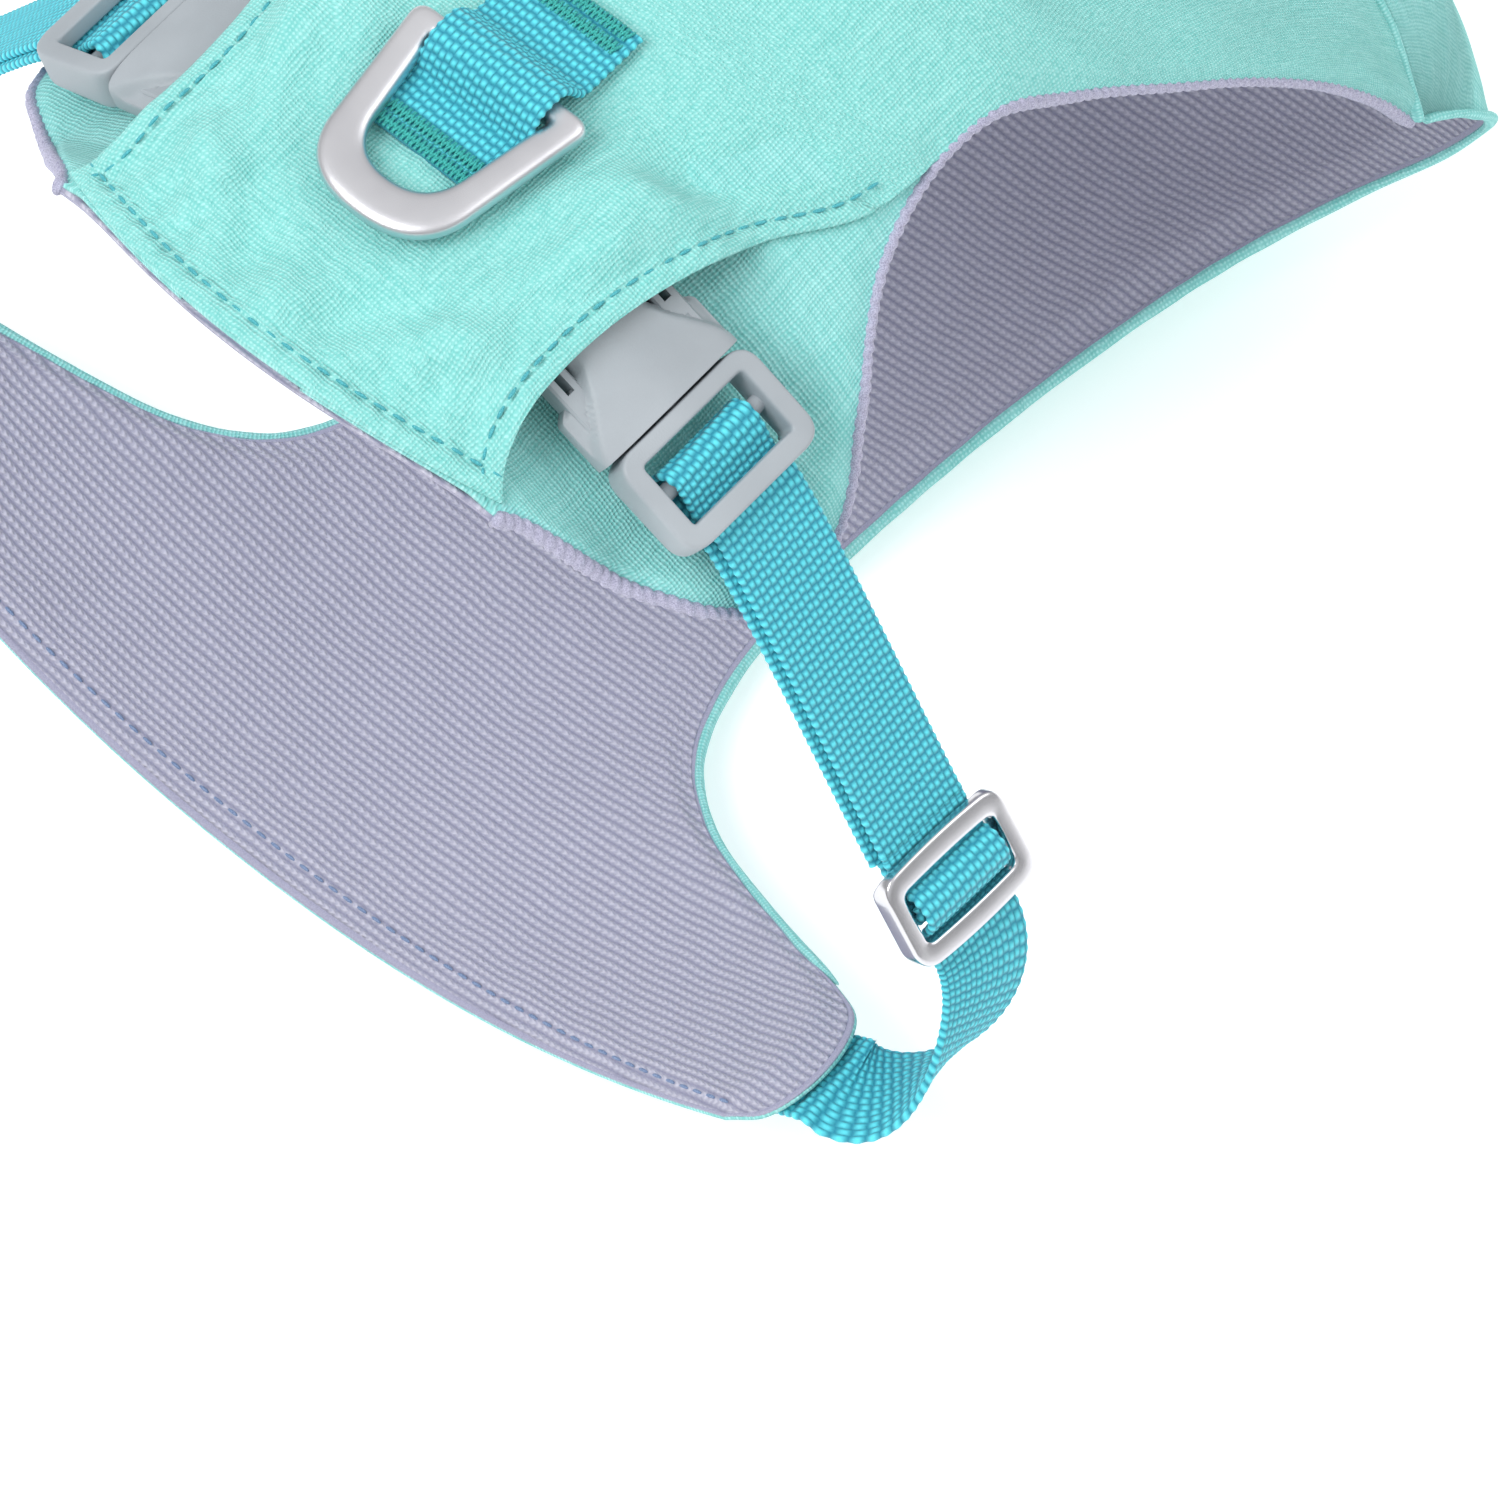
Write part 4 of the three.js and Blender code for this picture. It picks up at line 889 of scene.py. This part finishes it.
def threads(name, centres, directions, ups, length, radius, material):
    """Short threads, each a capsule: its radius falls to nothing at both ends as a circle does."""
    ends = np.array([-1.0, -0.9, -0.4, 0.4, 0.9, 1.0])
    angle = around(len(ends))
    run = unit(directions)[:, None, None]
    across = unit(np.cross(directions, ups))[:, None, None]
    up = np.cross(across, run)
    girth = (radius * np.sqrt(np.maximum(1.0 - np.abs(ends) ** 4, 1e-6)))[None, :, None, None]
    arch = (0.35 * radius * (1.0 - ends**2))[None, :, None, None]
    half = (np.broadcast_to(length, len(centres)) / 2.0)[:, None, None, None]
    points = centres[:, None, None] + run * half * ends[None, :, None, None] + up * arch
    points = points + across * girth * np.cos(angle)[None, :, :, None]
    points = points + up * girth * np.sin(angle)[None, :, :, None]
    one = grid_quads(len(ends), len(ends), round_columns=True)
    quads = (one[None] + (np.arange(len(centres)) * len(ends) ** 2)[:, None, None]).reshape(-1, 4)
    return build(name, points.reshape(-1, 3), quads, material)


def stitch_row(name, line, ups, pitch, length, radius, material):
    """Stitches at equal steps along a line."""
    path, up = evenly(line, pitch, ups)
    return threads(name, path, np.gradient(path, axis=0), unit(up), length, radius, material)


def section(width, thickness):
    """Outline of webbing: a flat rectangle with half-round edges, as across, up and a sign for its face."""
    flat = np.linspace(-1, 1, 34)
    edge = np.linspace(-math.pi / 2, math.pi / 2, 7)[1:-1]
    reach = width / 2 - thickness * 0.35
    across = np.concatenate([flat * reach, reach + np.cos(edge[::-1]) * thickness * 0.35,
                             -flat * reach, -reach - np.cos(edge) * thickness * 0.35])
    up = np.concatenate([np.ones(34), np.sin(edge[::-1]), -np.ones(34), np.sin(edge)])
    return across, up * thickness / 2


def webbing(name, path, sides, width, step=0.42):
    """Woven strap: the section carried along the path, each yarn rising and dipping in turn."""
    path, side = smoothed(path, step, sides)
    run = unit(np.gradient(path, axis=0))
    across = unit(side - run * np.sum(side * run, axis=1, keepdims=True))
    face = np.cross(run, across)
    body = WEBBING_THICKNESS * 0.86    # without its knuckles
    place, height = section(width, body)
    along = lengths(path)[:, None]
    yarn = place[None, :] / YARN
    odd = np.floor(yarn) % 2
    phase = 2 * math.pi * along / PICK
    knuckle = np.sin(math.pi * (yarn % 1.0)) ** 0.6 * (0.5 + 0.5 * np.cos(phase + 0.9 * odd))
    on_face = np.abs(height) > 0.45 * body
    raise_by = np.sign(height)[None, :] * (0.26 * knuckle - 0.05) * on_face[None, :]
    wavy = place[None, :] + np.sign(place)[None, :] * (~on_face)[None, :] * 0.14 * np.cos(phase)
    points = path[:, None] + across[:, None] * wavy[..., None]
    points = points + face[:, None] * (height[None, :] + raise_by)[..., None]
    count = len(place)
    cloth = np.zeros(points.shape)
    cloth[..., 0], cloth[..., 1] = along, place
    all_points, all_cloth = [points.reshape(-1, 3)], [cloth.reshape(-1, 3)]
    all_quads = [grid_quads(len(path), count, round_columns=True)]
    shift = len(path) * count
    for end in (0, -1):
        all_points += [points[end], path[end] + (points[end] - path[end]) * 0.02]
        all_cloth += [cloth[end], cloth[end]]
        cap = grid_quads(2, count, round_columns=True) + shift
        all_quads.append(cap if end else cap[:, ::-1])
        shift += 2 * count
    made = (np.concatenate(all_points), np.concatenate(all_quads), np.concatenate(all_cloth))
    return build(name, *with_material(made, TEAL))


def tack_lean(count):
    """How far each thread of a bartack row leans: to the one side and then to the other."""
    return np.where(np.arange(count) % 2, TACK_LEAN, -TACK_LEAN)


# ---------------------------------------------------------------- axes of the side straps


def buckle_axes(sign):
    """Origin on the parting line, across, along (out and down) and up (off the back)."""
    along = np.array([0.0, sign * math.cos(BUCKLE_LEAN), -math.sin(BUCKLE_LEAN)])
    up = np.array([0.0, sign * math.sin(BUCKLE_LEAN), math.cos(BUCKLE_LEAN)])
    origin = np.array([BUCKLE_X, sign * BUCKLE_OUT, -BUCKLE_DROP])
    return origin, np.cross(along, up), along, up


def adjuster_axes(sign):
    """Origin on the adjuster's pin, across, along the strap away from the clip, and up off it."""
    origin, _, along, up = buckle_axes(sign)
    strap = origin + along * CLIP_LENGTH + up * -1.85
    middle = np.array([ADJUSTER[0], sign * ADJUSTER[1], ADJUSTER[2]])
    run = unit(middle - strap)
    across = unit(np.array([sign, 0.0, 0.0]) - sign * run[0] * run)
    return middle, across, run, np.cross(across, run)


def seated(axes, local):
    """Local (across, along, up) points on a set of axes."""
    origin, across, along, up = axes
    local = np.asarray(local, float)
    return origin + local[..., :1] * across + local[..., 1:2] * along + local[..., 2:3] * up


def on_axes(axes, pairs):
    """Points of the plane of a strap's run, given as (along, up) pairs on a set of axes."""
    pairs = np.asarray(pairs, float)
    return axes[0] + pairs[:, :1] * axes[2] + pairs[:, 1:] * axes[3]


def arc(along, up, radius, start, end, steps):
    """Points of a circle about (along, up), from one angle to another in degrees."""
    angle = np.radians(np.linspace(start, end, steps + 1))
    return np.stack([along + radius * np.cos(angle), up + radius * np.sin(angle)], 1)


def wing_place(v, sign):
    """Where the strap is sewn under the wing tip, a little below its canvas."""
    u = np.array([WING_RIB / (len(CHEST_RIBS) - 1)])
    here = rib_surface(CHEST_RIBS, belly_rise, u, np.array([v]))[0, 0]
    back = rib_surface(CHEST_RIBS, belly_rise, u, np.array([v - 0.02]))[0, 0]
    down = unit(np.cross(here - back, [1.0, 0.0, 0.0]))
    down = down * (-1.0 if down[2] > 0 else 1.0)
    return (here + down * WRAP) * np.array([1.0, sign, 1.0])


def side_strap(side, sign):
    """One length of webbing: from the adjuster's pin up to the clip, back through the adjuster and in a
    slack loop to the wing tip. It is cut into pieces, of which the sewn end and the roll move with the
    adjuster."""
    buckle = buckle_axes(sign)
    adjuster = adjuster_axes(sign)
    clip, held = f"{side}_clip", f"{side}_adjuster"
    forward = np.array([1.0, 0.0, 0.0])
    square = adjuster[1] * sign
    pin_turn = ADJUSTER_PIN + WRAP
    crown = pin_turn + WEBBING_THICKNESS + GAP
    window = ADJUSTER_LENGTH / 2 - ADJUSTER_RAIL
    top, clip_top = STRAP_FACE, CLIP_FACE

    sewn_end = on_axes(adjuster, np.concatenate([
        arc(0, 0, pin_turn, 112, -90, 9), [[-5.5, top - PLY - 0.3], [-12, top - PLY]]]))
    plies = np.concatenate([
        on_axes(adjuster, [[-11, top - PLY]]),
        on_axes(buckle, [[CLIP_LENGTH + 1, clip_top - PLY], [CLIP_LENGTH - 4, clip_top - PLY]]),
        on_axes(buckle, arc(CLIP_BAR_PLACE, 0, CLIP_BAR + WRAP, -90, -270, 9)),
        on_axes(buckle, [[CLIP_BAR_PLACE + 3.2, 1.3], [CLIP_LENGTH - 5, clip_top + 0.15],
                         [CLIP_LENGTH - 2, clip_top], [CLIP_LENGTH + 1, clip_top]]),
        on_axes(adjuster, [[-11, top]]),
    ])
    behind = np.concatenate([[1.0], [1.0, 0.9], np.linspace(0.8, 0.1, 10), np.zeros(5)])
    plies = plies - 1.5 * behind[:, None] * forward
    roll = on_axes(adjuster, np.concatenate([
        [[-12, top], [-0.2 - window, top], [0.9 - window, top + 0.5]], arc(0.2, 0.9, crown - 0.1, 165, 12, 9),
        [[window - 1.2, top + 0.6], [window + 0.2, top], [window + 2.5, top - 0.2], [12, top - 0.6]]]))
    leave = roll[-1]
    arrive = wing_place(1.0, sign)
    outward = unit(arrive - wing_place(0.96, sign))
    t = np.linspace(0, 1, 16)[:, None]
    pull, drop = leave + adjuster[2] * 20, arrive + outward * 16 + np.array([0, 0, -13.0])
    loop = (1 - t) ** 3 * leave + 3 * (1 - t) ** 2 * t * pull + 3 * (1 - t) * t**2 * drop + t**3 * arrive
    sewn = [wing_place(v, sign) for v in (0.94, 0.88, 0.82)]
    loop = np.concatenate([[leave - adjuster[2] * 0.8], loop, sewn])

    def even(direction, path):
        """One direction for every point of a path."""
        return np.repeat(direction[None], len(path), axis=0)

    mixed = np.concatenate([[square], even(forward, plies[1:-1]), [square]])
    strap = webbing(f"strap_plies_{side}", plies, mixed, WEBBING)
    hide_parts(f"strap_{side}")
    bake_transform(strap)
    piece = webbing(f"strap_end_{side}", sewn_end, even(square, sewn_end), WEBBING)
    dress(piece, held)
    piece = webbing(f"strap_roll_{side}", roll, even(square, roll), WEBBING)
    dress(piece, held)
    turn = ramp(np.arange(len(loop)), 0, 9)[:, None]
    sides = unit(square * (1 - turn) + forward * turn)
    piece = webbing(f"strap_loop_{side}", loop, sides, WEBBING)
    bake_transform(piece)

    across = np.arange(-8.6, 8.7, 0.55)[:, None]
    lean = tack_lean(len(across))[:, None]
    rows = []
    for v in (0.925, 0.845):
        run = unit(wing_place(v - 0.02, sign) - wing_place(v, sign))
        out = unit(np.cross(run, forward))
        out = out * np.sign(np.dot(out, [0.0, sign, -1.0]))
        rows.append((wing_place(v, sign) + forward * across + out * (WEBBING_THICKNESS / 2 + 0.25),
                     run + forward * lean, np.repeat(out[None], len(across), axis=0)))
    centres, directions, ups = (np.concatenate(part) for part in zip(*rows))
    dress(threads(f"strap_tack_{side}", centres, directions, ups, 2.8, TACK_RADIUS, TACK), "vest")

    anchor_turn = on_axes(buckle, arc(SOCKET_BAR, 0, SOCKET_BAR_RADIUS + WRAP, -110, 125, 10))
    lower = [[BUCKLE_X, sign * y, -d] for y, d in ((11, 6.6), (17, 8.2), (23, 9.9))]
    upper = [[BUCKLE_X, sign * y, -d] for y, d in ((22, 4.4), (17, 4.9), (11, 4.5))]
    anchor = np.concatenate([lower, anchor_turn, upper])
    piece = webbing(f"anchor_webbing_{side}", anchor, even(forward, anchor), WEBBING, step=0.7)
    dress(piece, "vest", [f"socket_webbing_{side}"])


# ---------------------------------------------------------------- moulded and metal parts


def corner_curve(start, corner, end, count):
    """A quadratic curve that leaves start, is pulled by the corner and reaches end."""
    t = np.linspace(0, 1, count, endpoint=False)[:, None]
    start, corner, end = (np.array(p, float) for p in (start, corner, end))
    return (1 - t) ** 2 * start + 2 * t * (1 - t) * corner + t**2 * end


def straight(start, end, count):
    """Points from start, at equal steps, to one step short of end."""
    t = np.linspace(0, 1, count, endpoint=False)[:, None]
    return np.array(start, float) * (1 - t) + np.array(end, float) * t


def half_and_mirror(points):
    """A half outline from the middle line round to it again, and its mirror image."""
    turned = points[1:-1][::-1] * np.array([1.0, -1.0])
    return np.concatenate([points, turned])


def trapezoid(bar, half, narrowing, bow, corner, round_at):
    """Rounded trapezoid: wide at the bar, narrower at the bow."""
    outline = np.concatenate([
        straight((bar, 0), (bar, half - corner), 10),
        corner_curve((bar, half - corner), (bar, half), (bar - corner, half - narrowing * 0.15), 8),
        straight((bar - corner, half - narrowing * 0.15), (bow + round_at, half - narrowing), 14),
        corner_curve((bow + round_at, half - narrowing), (bow, half - narrowing * 1.4), (bow, 0), 26),
        [(bow, 0)],
    ])
    return half_and_mirror(outline)


def rounded_rectangle(half, low, high, corner, count=8):
    """Rounded rectangle about the second axis, from the middle of its low side."""
    outline = np.concatenate([
        straight((low, 0), (low, half - corner), 8),
        corner_curve((low, half - corner), (low, half), (low + corner, half), count),
        straight((low + corner, half), (high - corner, half), 8),
        corner_curve((high - corner, half), (high, half), (high, half - corner), count),
        straight((high, half - corner), (high, 0), 8),
        [(high, 0)],
    ])
    return half_and_mirror(outline)[:, ::-1]


def frame_loop(outer, inner, low, high, squareness, count):
    """A closed frame between two outlines: its section is a superellipse as wide as the space between
    them and as high as from low to high."""
    swing, rise = squared_circle(around(count), squareness)
    middle, half = (outer + inner) / 2, (outer - inner) / 2
    low, high = np.broadcast_to(low, len(outer))[:, None], np.broadcast_to(high, len(outer))[:, None]
    plane = middle[:, None] + half[:, None] * swing[..., None]
    up = (low + high) / 2 + (high - low) / 2 * rise
    points = np.concatenate([plane, up[..., None]], -1).reshape(-1, 3)
    return points, grid_quads(len(outer), count, True, True), np.zeros((len(points), 3))


def outward_faces(points, quads):
    """The faces turned so that the closed shape has a volume above nothing."""
    a, b, c, d = (points[quads[:, k]] for k in range(4))
    volume = np.sum(a * np.cross(b, c)) + np.sum(a * np.cross(c, d))
    return quads if volume > 0 else quads[:, ::-1]


def closed(parts):
    """Several closed shapes as one (points, quads), each with its faces turned outward."""
    return gathered([(points, outward_faces(points, quads), cloth) for points, quads, cloth in parts])[:2]


def leash_ring():
    """Rounded trapezoid ring, wide at the bow, lying under its webbing loop."""
    outer = trapezoid(2.0, 19.5, 4.0, -36.0, 3.6, 12.0)
    inner = trapezoid(-2.0, 13.1, 3.2, -27.5, 1.6, 9.0)
    points, quads, _ = frame_loop(outer, inner, -2.0, 2.0, 3.0, 24)
    points = points + np.array([RING_X, 0.0, RING_LIFT])
    piece = build("ring", points, outward_faces(points, quads), BLASTED)
    dress(piece, "leash_ring", ["leash_ring"])


def ring_loop():
    """Webbing over the ring's bar, tacked down in front of it and behind it."""
    flat = GAP + WEBBING_THICKNESS / 2
    over = RING_LIFT + 2.0 + flat + 0.3
    steps = [(22, 0), (14, 0), (8.7, 0.02), (6.9, 0.14), (5, 0.62), (2.6, 1),
             (-2.6, 1), (-5, 0.62), (-6.9, 0.14), (-8.7, 0.02), (-14, 0), (-19, 0)]
    route = np.array([(RING_X + x, 0.0, flat + (over - flat) * s) for x, s in steps])
    sides = np.repeat([[0.0, 1.0, 0.0]], len(route), axis=0)
    dress(webbing("ring_strap", route, sides, RING_WEBBING, step=0.4), "vest", ["ring_webbing"])
    top = flat + WEBBING_THICKNESS / 2 + 0.28
    for end, x, rows in (("front", RING_X + 19, (-1.6, 1.7)), ("rear", RING_X - 16.5, (-1.5, 1.5))):
        across = np.arange(-10.6, 10.7, 0.5)
        one = np.ones(len(across))
        centres = np.concatenate([np.stack([(x + r) * one, across, top * one], 1) for r in rows])
        lean = np.tile(tack_lean(len(across)), len(rows))
        direction = np.stack([np.ones(len(centres)), lean, np.zeros(len(centres))], 1)
        ups = np.repeat([[0.0, 0.0, 1.0]], len(centres), axis=0)
        piece = threads(f"ring_tack_{end}_threads", centres, direction, ups, 3.0, TACK_RADIUS, TACK)
        dress(piece, "vest", [f"ring_tack_{end}"])


def bar_between(start, end, radius):
    """A round bar with flat ends."""
    share = np.array([0.0, 0.001, 0.02, 0.25, 0.5, 0.75, 0.98, 0.999, 1.0])[:, None]
    path = np.asarray(start) * (1.0 - share) + np.asarray(end) * share
    ups = np.repeat([[0.03, 0.02, 1.0]], len(path), axis=0)
    return tube(path, ups, radius, radius, 16)


def adjuster(side, sign):
    """Three-bar slide: a flat rounded frame whose end bars bow outward, and a pin across it."""
    axes = adjuster_axes(sign)
    half, end = ADJUSTER_WIDTH / 2, ADJUSTER_LENGTH / 2
    outer = rounded_rectangle(half, -end, end, 4.2, 12)
    inner = rounded_rectangle(half - 3.4, 4.1 - end, end - 4.1, 1.6, 12)
    bow = np.sign(outer[:, 1]) * (1.0 - (outer[:, 0] / half) ** 2) * ramp(np.abs(outer[:, 1]), 5.0, 9.0)
    outer = outer + bow[:, None] * [0.0, 0.8]
    inner = inner + bow[:, None] * [0.0, 0.5]
    low = -1.0 + 2.6 * ramp(np.abs(outer[:, 1]), end - 4.0, end - 0.5) * (1.0 - (outer[:, 0] / half) ** 8)
    points, quads, cloth = frame_loop(outer, inner, low, 3.9, 5.5, 36)
    pin = bar_between(*seated(axes, [[2.0 - half, 0, 0], [half - 2.0, 0, 0]]), ADJUSTER_PIN)
    points, quads = closed([(seated(axes, points), quads, cloth), pin])
    piece = build(f"slide_{side}", points, quads, CHROME)
    dress(piece, f"{side}_adjuster", [f"adjuster_{side}"])


def clip_frame(side, sign):
    """The clip: a rounded frame with an inner bar for the strap, an outer bar over it and a guide tongue."""
    axes = buckle_axes(sign)
    half = BUCKLE_WIDTH / 2 - 0.2
    outer = rounded_rectangle(half, 0.4, CLIP_LENGTH, 4.6, 10)
    inner = rounded_rectangle(half - 4.0, 4.0, CLIP_LENGTH - 4.0, 1.0, 10)
    far = ramp(outer[:, 1], CLIP_LENGTH - 5.0, CLIP_LENGTH - 2.5)
    centre = 1.0 - ramp(np.abs(outer[:, 0]), half - 5.0, half - 2.5)
    low = -4.0 + 4.2 * far * centre
    high = 4.5 - 0.7 * ramp(outer[:, 1], 2.0, CLIP_LENGTH)
    points, quads, cloth = frame_loop(outer, inner, low, high, 7.0, 40)
    parts = [(seated(axes, points), quads, cloth)]
    strap_bar = [[-half + 2, CLIP_BAR_PLACE, 0], [half - 2, CLIP_BAR_PLACE, 0]]
    tongue = [[0, -18.0, 0], [0, 3.0, 0]]
    for ends, radius in ((strap_bar, CLIP_BAR), (tongue, 1.9)):
        parts.append(bar_between(*seated(axes, ends), radius))
    piece = build(f"clip_{side}", *closed(parts), PLASTIC)
    dress(piece, f"{side}_clip", [f"clip_frame_{side}"])


def socket(side, sign):
    """The socket: a tube whose half width flares from the waist to the collar, hollow from its mouth."""
    axes = buckle_axes(sign)
    y = np.concatenate([
        [SOCKET_END, SOCKET_END, -30.6, -29.5], np.linspace(-28, -16, 8), np.linspace(-15, -9.5, 14),
        np.linspace(-9, -0.6, 10), [-0.15, 0.0, 0.0, -0.2], np.linspace(-1.0, -9.0, 6), [-9.0],
    ])
    flare = ramp(y, -15.5, -9.6)
    wide = 9.2 + 7.3 * flare
    tall = 4.2 + 0.6 * ramp(y, -30.0, -20.0)
    size = np.ones(len(y))
    size[:4] = [0.0, 0.86, 0.96, 1.0]
    first_in = len(y) - 8    # from here on, the inside of the mouth
    size[first_in - 2:first_in] = [1.0, 0.97]
    wide[first_in:] = 15.0
    tall[first_in:] = 3.1
    size[-1] = 0.0
    swing, rise = squared_circle(around(96), 4.0)
    scoop = 0.55 * np.exp(-((y + 12.5) / 4.0) ** 2)[:, None] * (1.0 - ramp(np.abs(swing), 0.45, 0.95))
    x = wide[:, None] * size[:, None] * swing
    crease = (7.4 + 9.6 * ramp(y, -17.0, 2.5))[:, None]
    shoulder = 1.9 * ramp(np.abs(x) - crease, 0.0, 1.6) * ramp(rise, 0.1, 0.7)
    shoulder = shoulder * ramp(y, -18.0, -12.0)[:, None]
    shoulder[first_in:] = 0.0
    z = (tall * size)[:, None] * rise - scoop * (rise > 0.5) * (size[:, None] > 0.9) - shoulder
    local = np.stack([x, y[:, None] + 0 * x, z], -1).reshape(-1, 3)
    points = seated(axes, local)
    quads = outward_faces(points, grid_quads(len(y), 96, round_columns=True))
    dress(build(f"socket_{side}", points, quads, PLASTIC), "vest", [f"buckle_socket_{side}"])


def keep_prongs():
    """The prongs keep their worked shape, and take the plastic's finish."""
    for name, node_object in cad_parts.items():
        if name.startswith("prong_"):
            node_object.data.materials.clear()
            node_object.data.materials.append(PLASTIC)


# ---------------------------------------------------------------- sewing


def surface_line(panel, u_index, v_index, depth):
    """A line on a half panel through fractional grid places, with its normals."""
    i0 = np.clip(np.floor(u_index).astype(int), 0, panel["points"].shape[0] - 2)
    j0 = np.clip(np.floor(v_index).astype(int), 0, panel["points"].shape[1] - 2)
    a, b = (u_index - i0)[:, None], (v_index - j0)[:, None]

    def at(grid):
        """A grid's values at the fractional places."""
        near = grid[i0, j0] * (1 - a) + grid[i0 + 1, j0] * a
        far = grid[i0, j0 + 1] * (1 - a) + grid[i0 + 1, j0 + 1] * a
        return near * (1 - b) + far * b

    return at(panel["points"]) - at(panel["normals"]) * depth, at(panel["normals"])


def column_at(panel, rows, inside):
    """For each row, the fractional column that lies a distance inside the outer edge."""
    columns = np.arange(panel["points"].shape[1])
    return np.array([np.interp(-inside, -panel["outer"][i], columns) for i in rows])


def row_at(panel, columns, inside):
    """For each column, the fractional row that lies a distance inside the hem."""
    rows = np.arange(panel["points"].shape[0])
    return np.array([np.interp(inside, panel["hem"][:, j], rows) for j in columns])


def sewing():
    """Stitch rows beside the hem, the pocket mouths and the belly's rear edge, and a backtack at each
    corner of the hem."""
    last = len(under_v) - 1
    hem_columns = np.arange(0, last - 4)
    mouth_rows = np.arange(4, MOUTH_ROWS)
    belly_columns = np.arange(0, len(chest_v) - 6)
    size = (STITCH_PITCH, STITCH_LENGTH, STITCH_RADIUS, STITCH)
    belly_size = (3.4, 2.2, STITCH_RADIUS, BELLY_STITCH)
    hem = surface_line(cover, row_at(cover, hem_columns, 4.2), hem_columns.astype(float), -0.45)
    mouth = surface_line(cover, mouth_rows.astype(float), column_at(cover, mouth_rows, 4.0), -0.38)
    corner, corner_ups = surface_line(cover, np.linspace(3.0, 6.4, 5), np.full(5, last - 4.5), -0.15)
    run = np.cross(np.gradient(corner, axis=0), corner_ups)
    belly, inside = surface_line(chest, row_at(chest, belly_columns, 5.0), belly_columns.astype(float), 4.2)
    for side, sign in SIDES:
        def on_side(*arrays):
            """Each array, mirrored for the right side."""
            return [mirrored(array, sign) for array in arrays]

        for name, line, made in (("hem", hem, size), ("mouth", mouth, size)):
            dress(stitch_row(f"{name}_stitches_{side}", *on_side(*line), *made), "vest")
        row = threads(f"corner_backtack_{side}", *on_side(corner, run, corner_ups), 2.6, 0.36, STITCH)
        dress(row, "vest")
        dress(stitch_row(f"belly_stitches_{side}", *on_side(belly, -inside), *belly_size), "vest")


# ---------------------------------------------------------------- the vest

back_panel()
chest_panel()
shoulder_seams()
leash_ring()
ring_loop()
for side, sign in SIDES:
    side_strap(side, sign)
    adjuster(side, sign)
    clip_frame(side, sign)
    socket(side, sign)
keep_prongs()
sewing()

# ---------------------------------------------------------------- studio


VIEW_TARGET = Vector((-0.0281, -0.0827, -0.0820))
VIEW_FROM = Vector((-0.362, -0.316, 0.877)).normalized()
VIEW_DISTANCE = 2.0
VIEW_WIDTH = 0.2551    # of the scene at the target


def studio():
    """Pale floor, even white light and the camera."""
    scene = bpy.context.scene
    scene.view_settings.view_transform = "Standard"
    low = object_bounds()[0]
    mesh = bpy.data.meshes.new("floor")
    corners = [(-3.0, -3.0), (3.0, -3.0), (3.0, 3.0), (-3.0, 3.0)]
    mesh.from_pydata([(x, y, low.z - 0.0005) for x, y in corners], [], [(0, 1, 2, 3)])
    floor = bpy.data.objects.new("floor", mesh)
    scene.collection.objects.link(floor)
    paper, _, _ = finish("Pale paper", {"Base Color": (0.93, 0.93, 0.93, 1.0), "Roughness": 0.9,
                                        "Emission Color": (1.0, 1.0, 1.0, 1.0), "Emission Strength": 0.3})
    mesh.materials.append(paper)
    floor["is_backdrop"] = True
    world = bpy.data.worlds.new("studio")
    world.use_nodes = True
    sky = world.node_tree
    direction = node(sky, "ShaderNodeTexCoord").outputs["Generated"]
    height = node(sky, "ShaderNodeSeparateXYZ", {0: direction}).outputs[2]
    light = rescaled(sky, height, 0.0, 0.75, 0.38, 0.86)
    sky.links.new(light, sky.nodes["Background"].inputs["Strength"])
    sky.nodes["Background"].inputs["Color"].default_value = (1.0, 1.0, 1.0, 1.0)
    scene.world = world
    for name, place, power, width in (
        ("key", (-1.0, 0.3, 1.4), 20.0, 0.9),
        ("fill", (0.9, -0.9, 1.1), 7.0, 1.2),
    ):
        lamp = bpy.data.lights.new(name, "AREA")
        lamp.energy, lamp.size = power, width
        lamp_object = bpy.data.objects.new(name, lamp)
        lamp_object.location = place
        lamp_object.rotation_euler = (VIEW_TARGET - Vector(place)).to_track_quat("-Z", "Y").to_euler()
        scene.collection.objects.link(lamp_object)
    camera = bpy.data.cameras.new("camera")
    camera.lens = camera.sensor_width * VIEW_DISTANCE / VIEW_WIDTH
    camera_object = bpy.data.objects.new("camera", camera)
    camera_object.location = VIEW_TARGET + VIEW_FROM * VIEW_DISTANCE
    camera_object.rotation_euler = (-VIEW_FROM).to_track_quat("-Z", "Y").to_euler()
    camera.clip_start, camera.clip_end = 0.05, 20.0
    scene.collection.objects.link(camera_object)
    scene.camera = camera_object


studio()
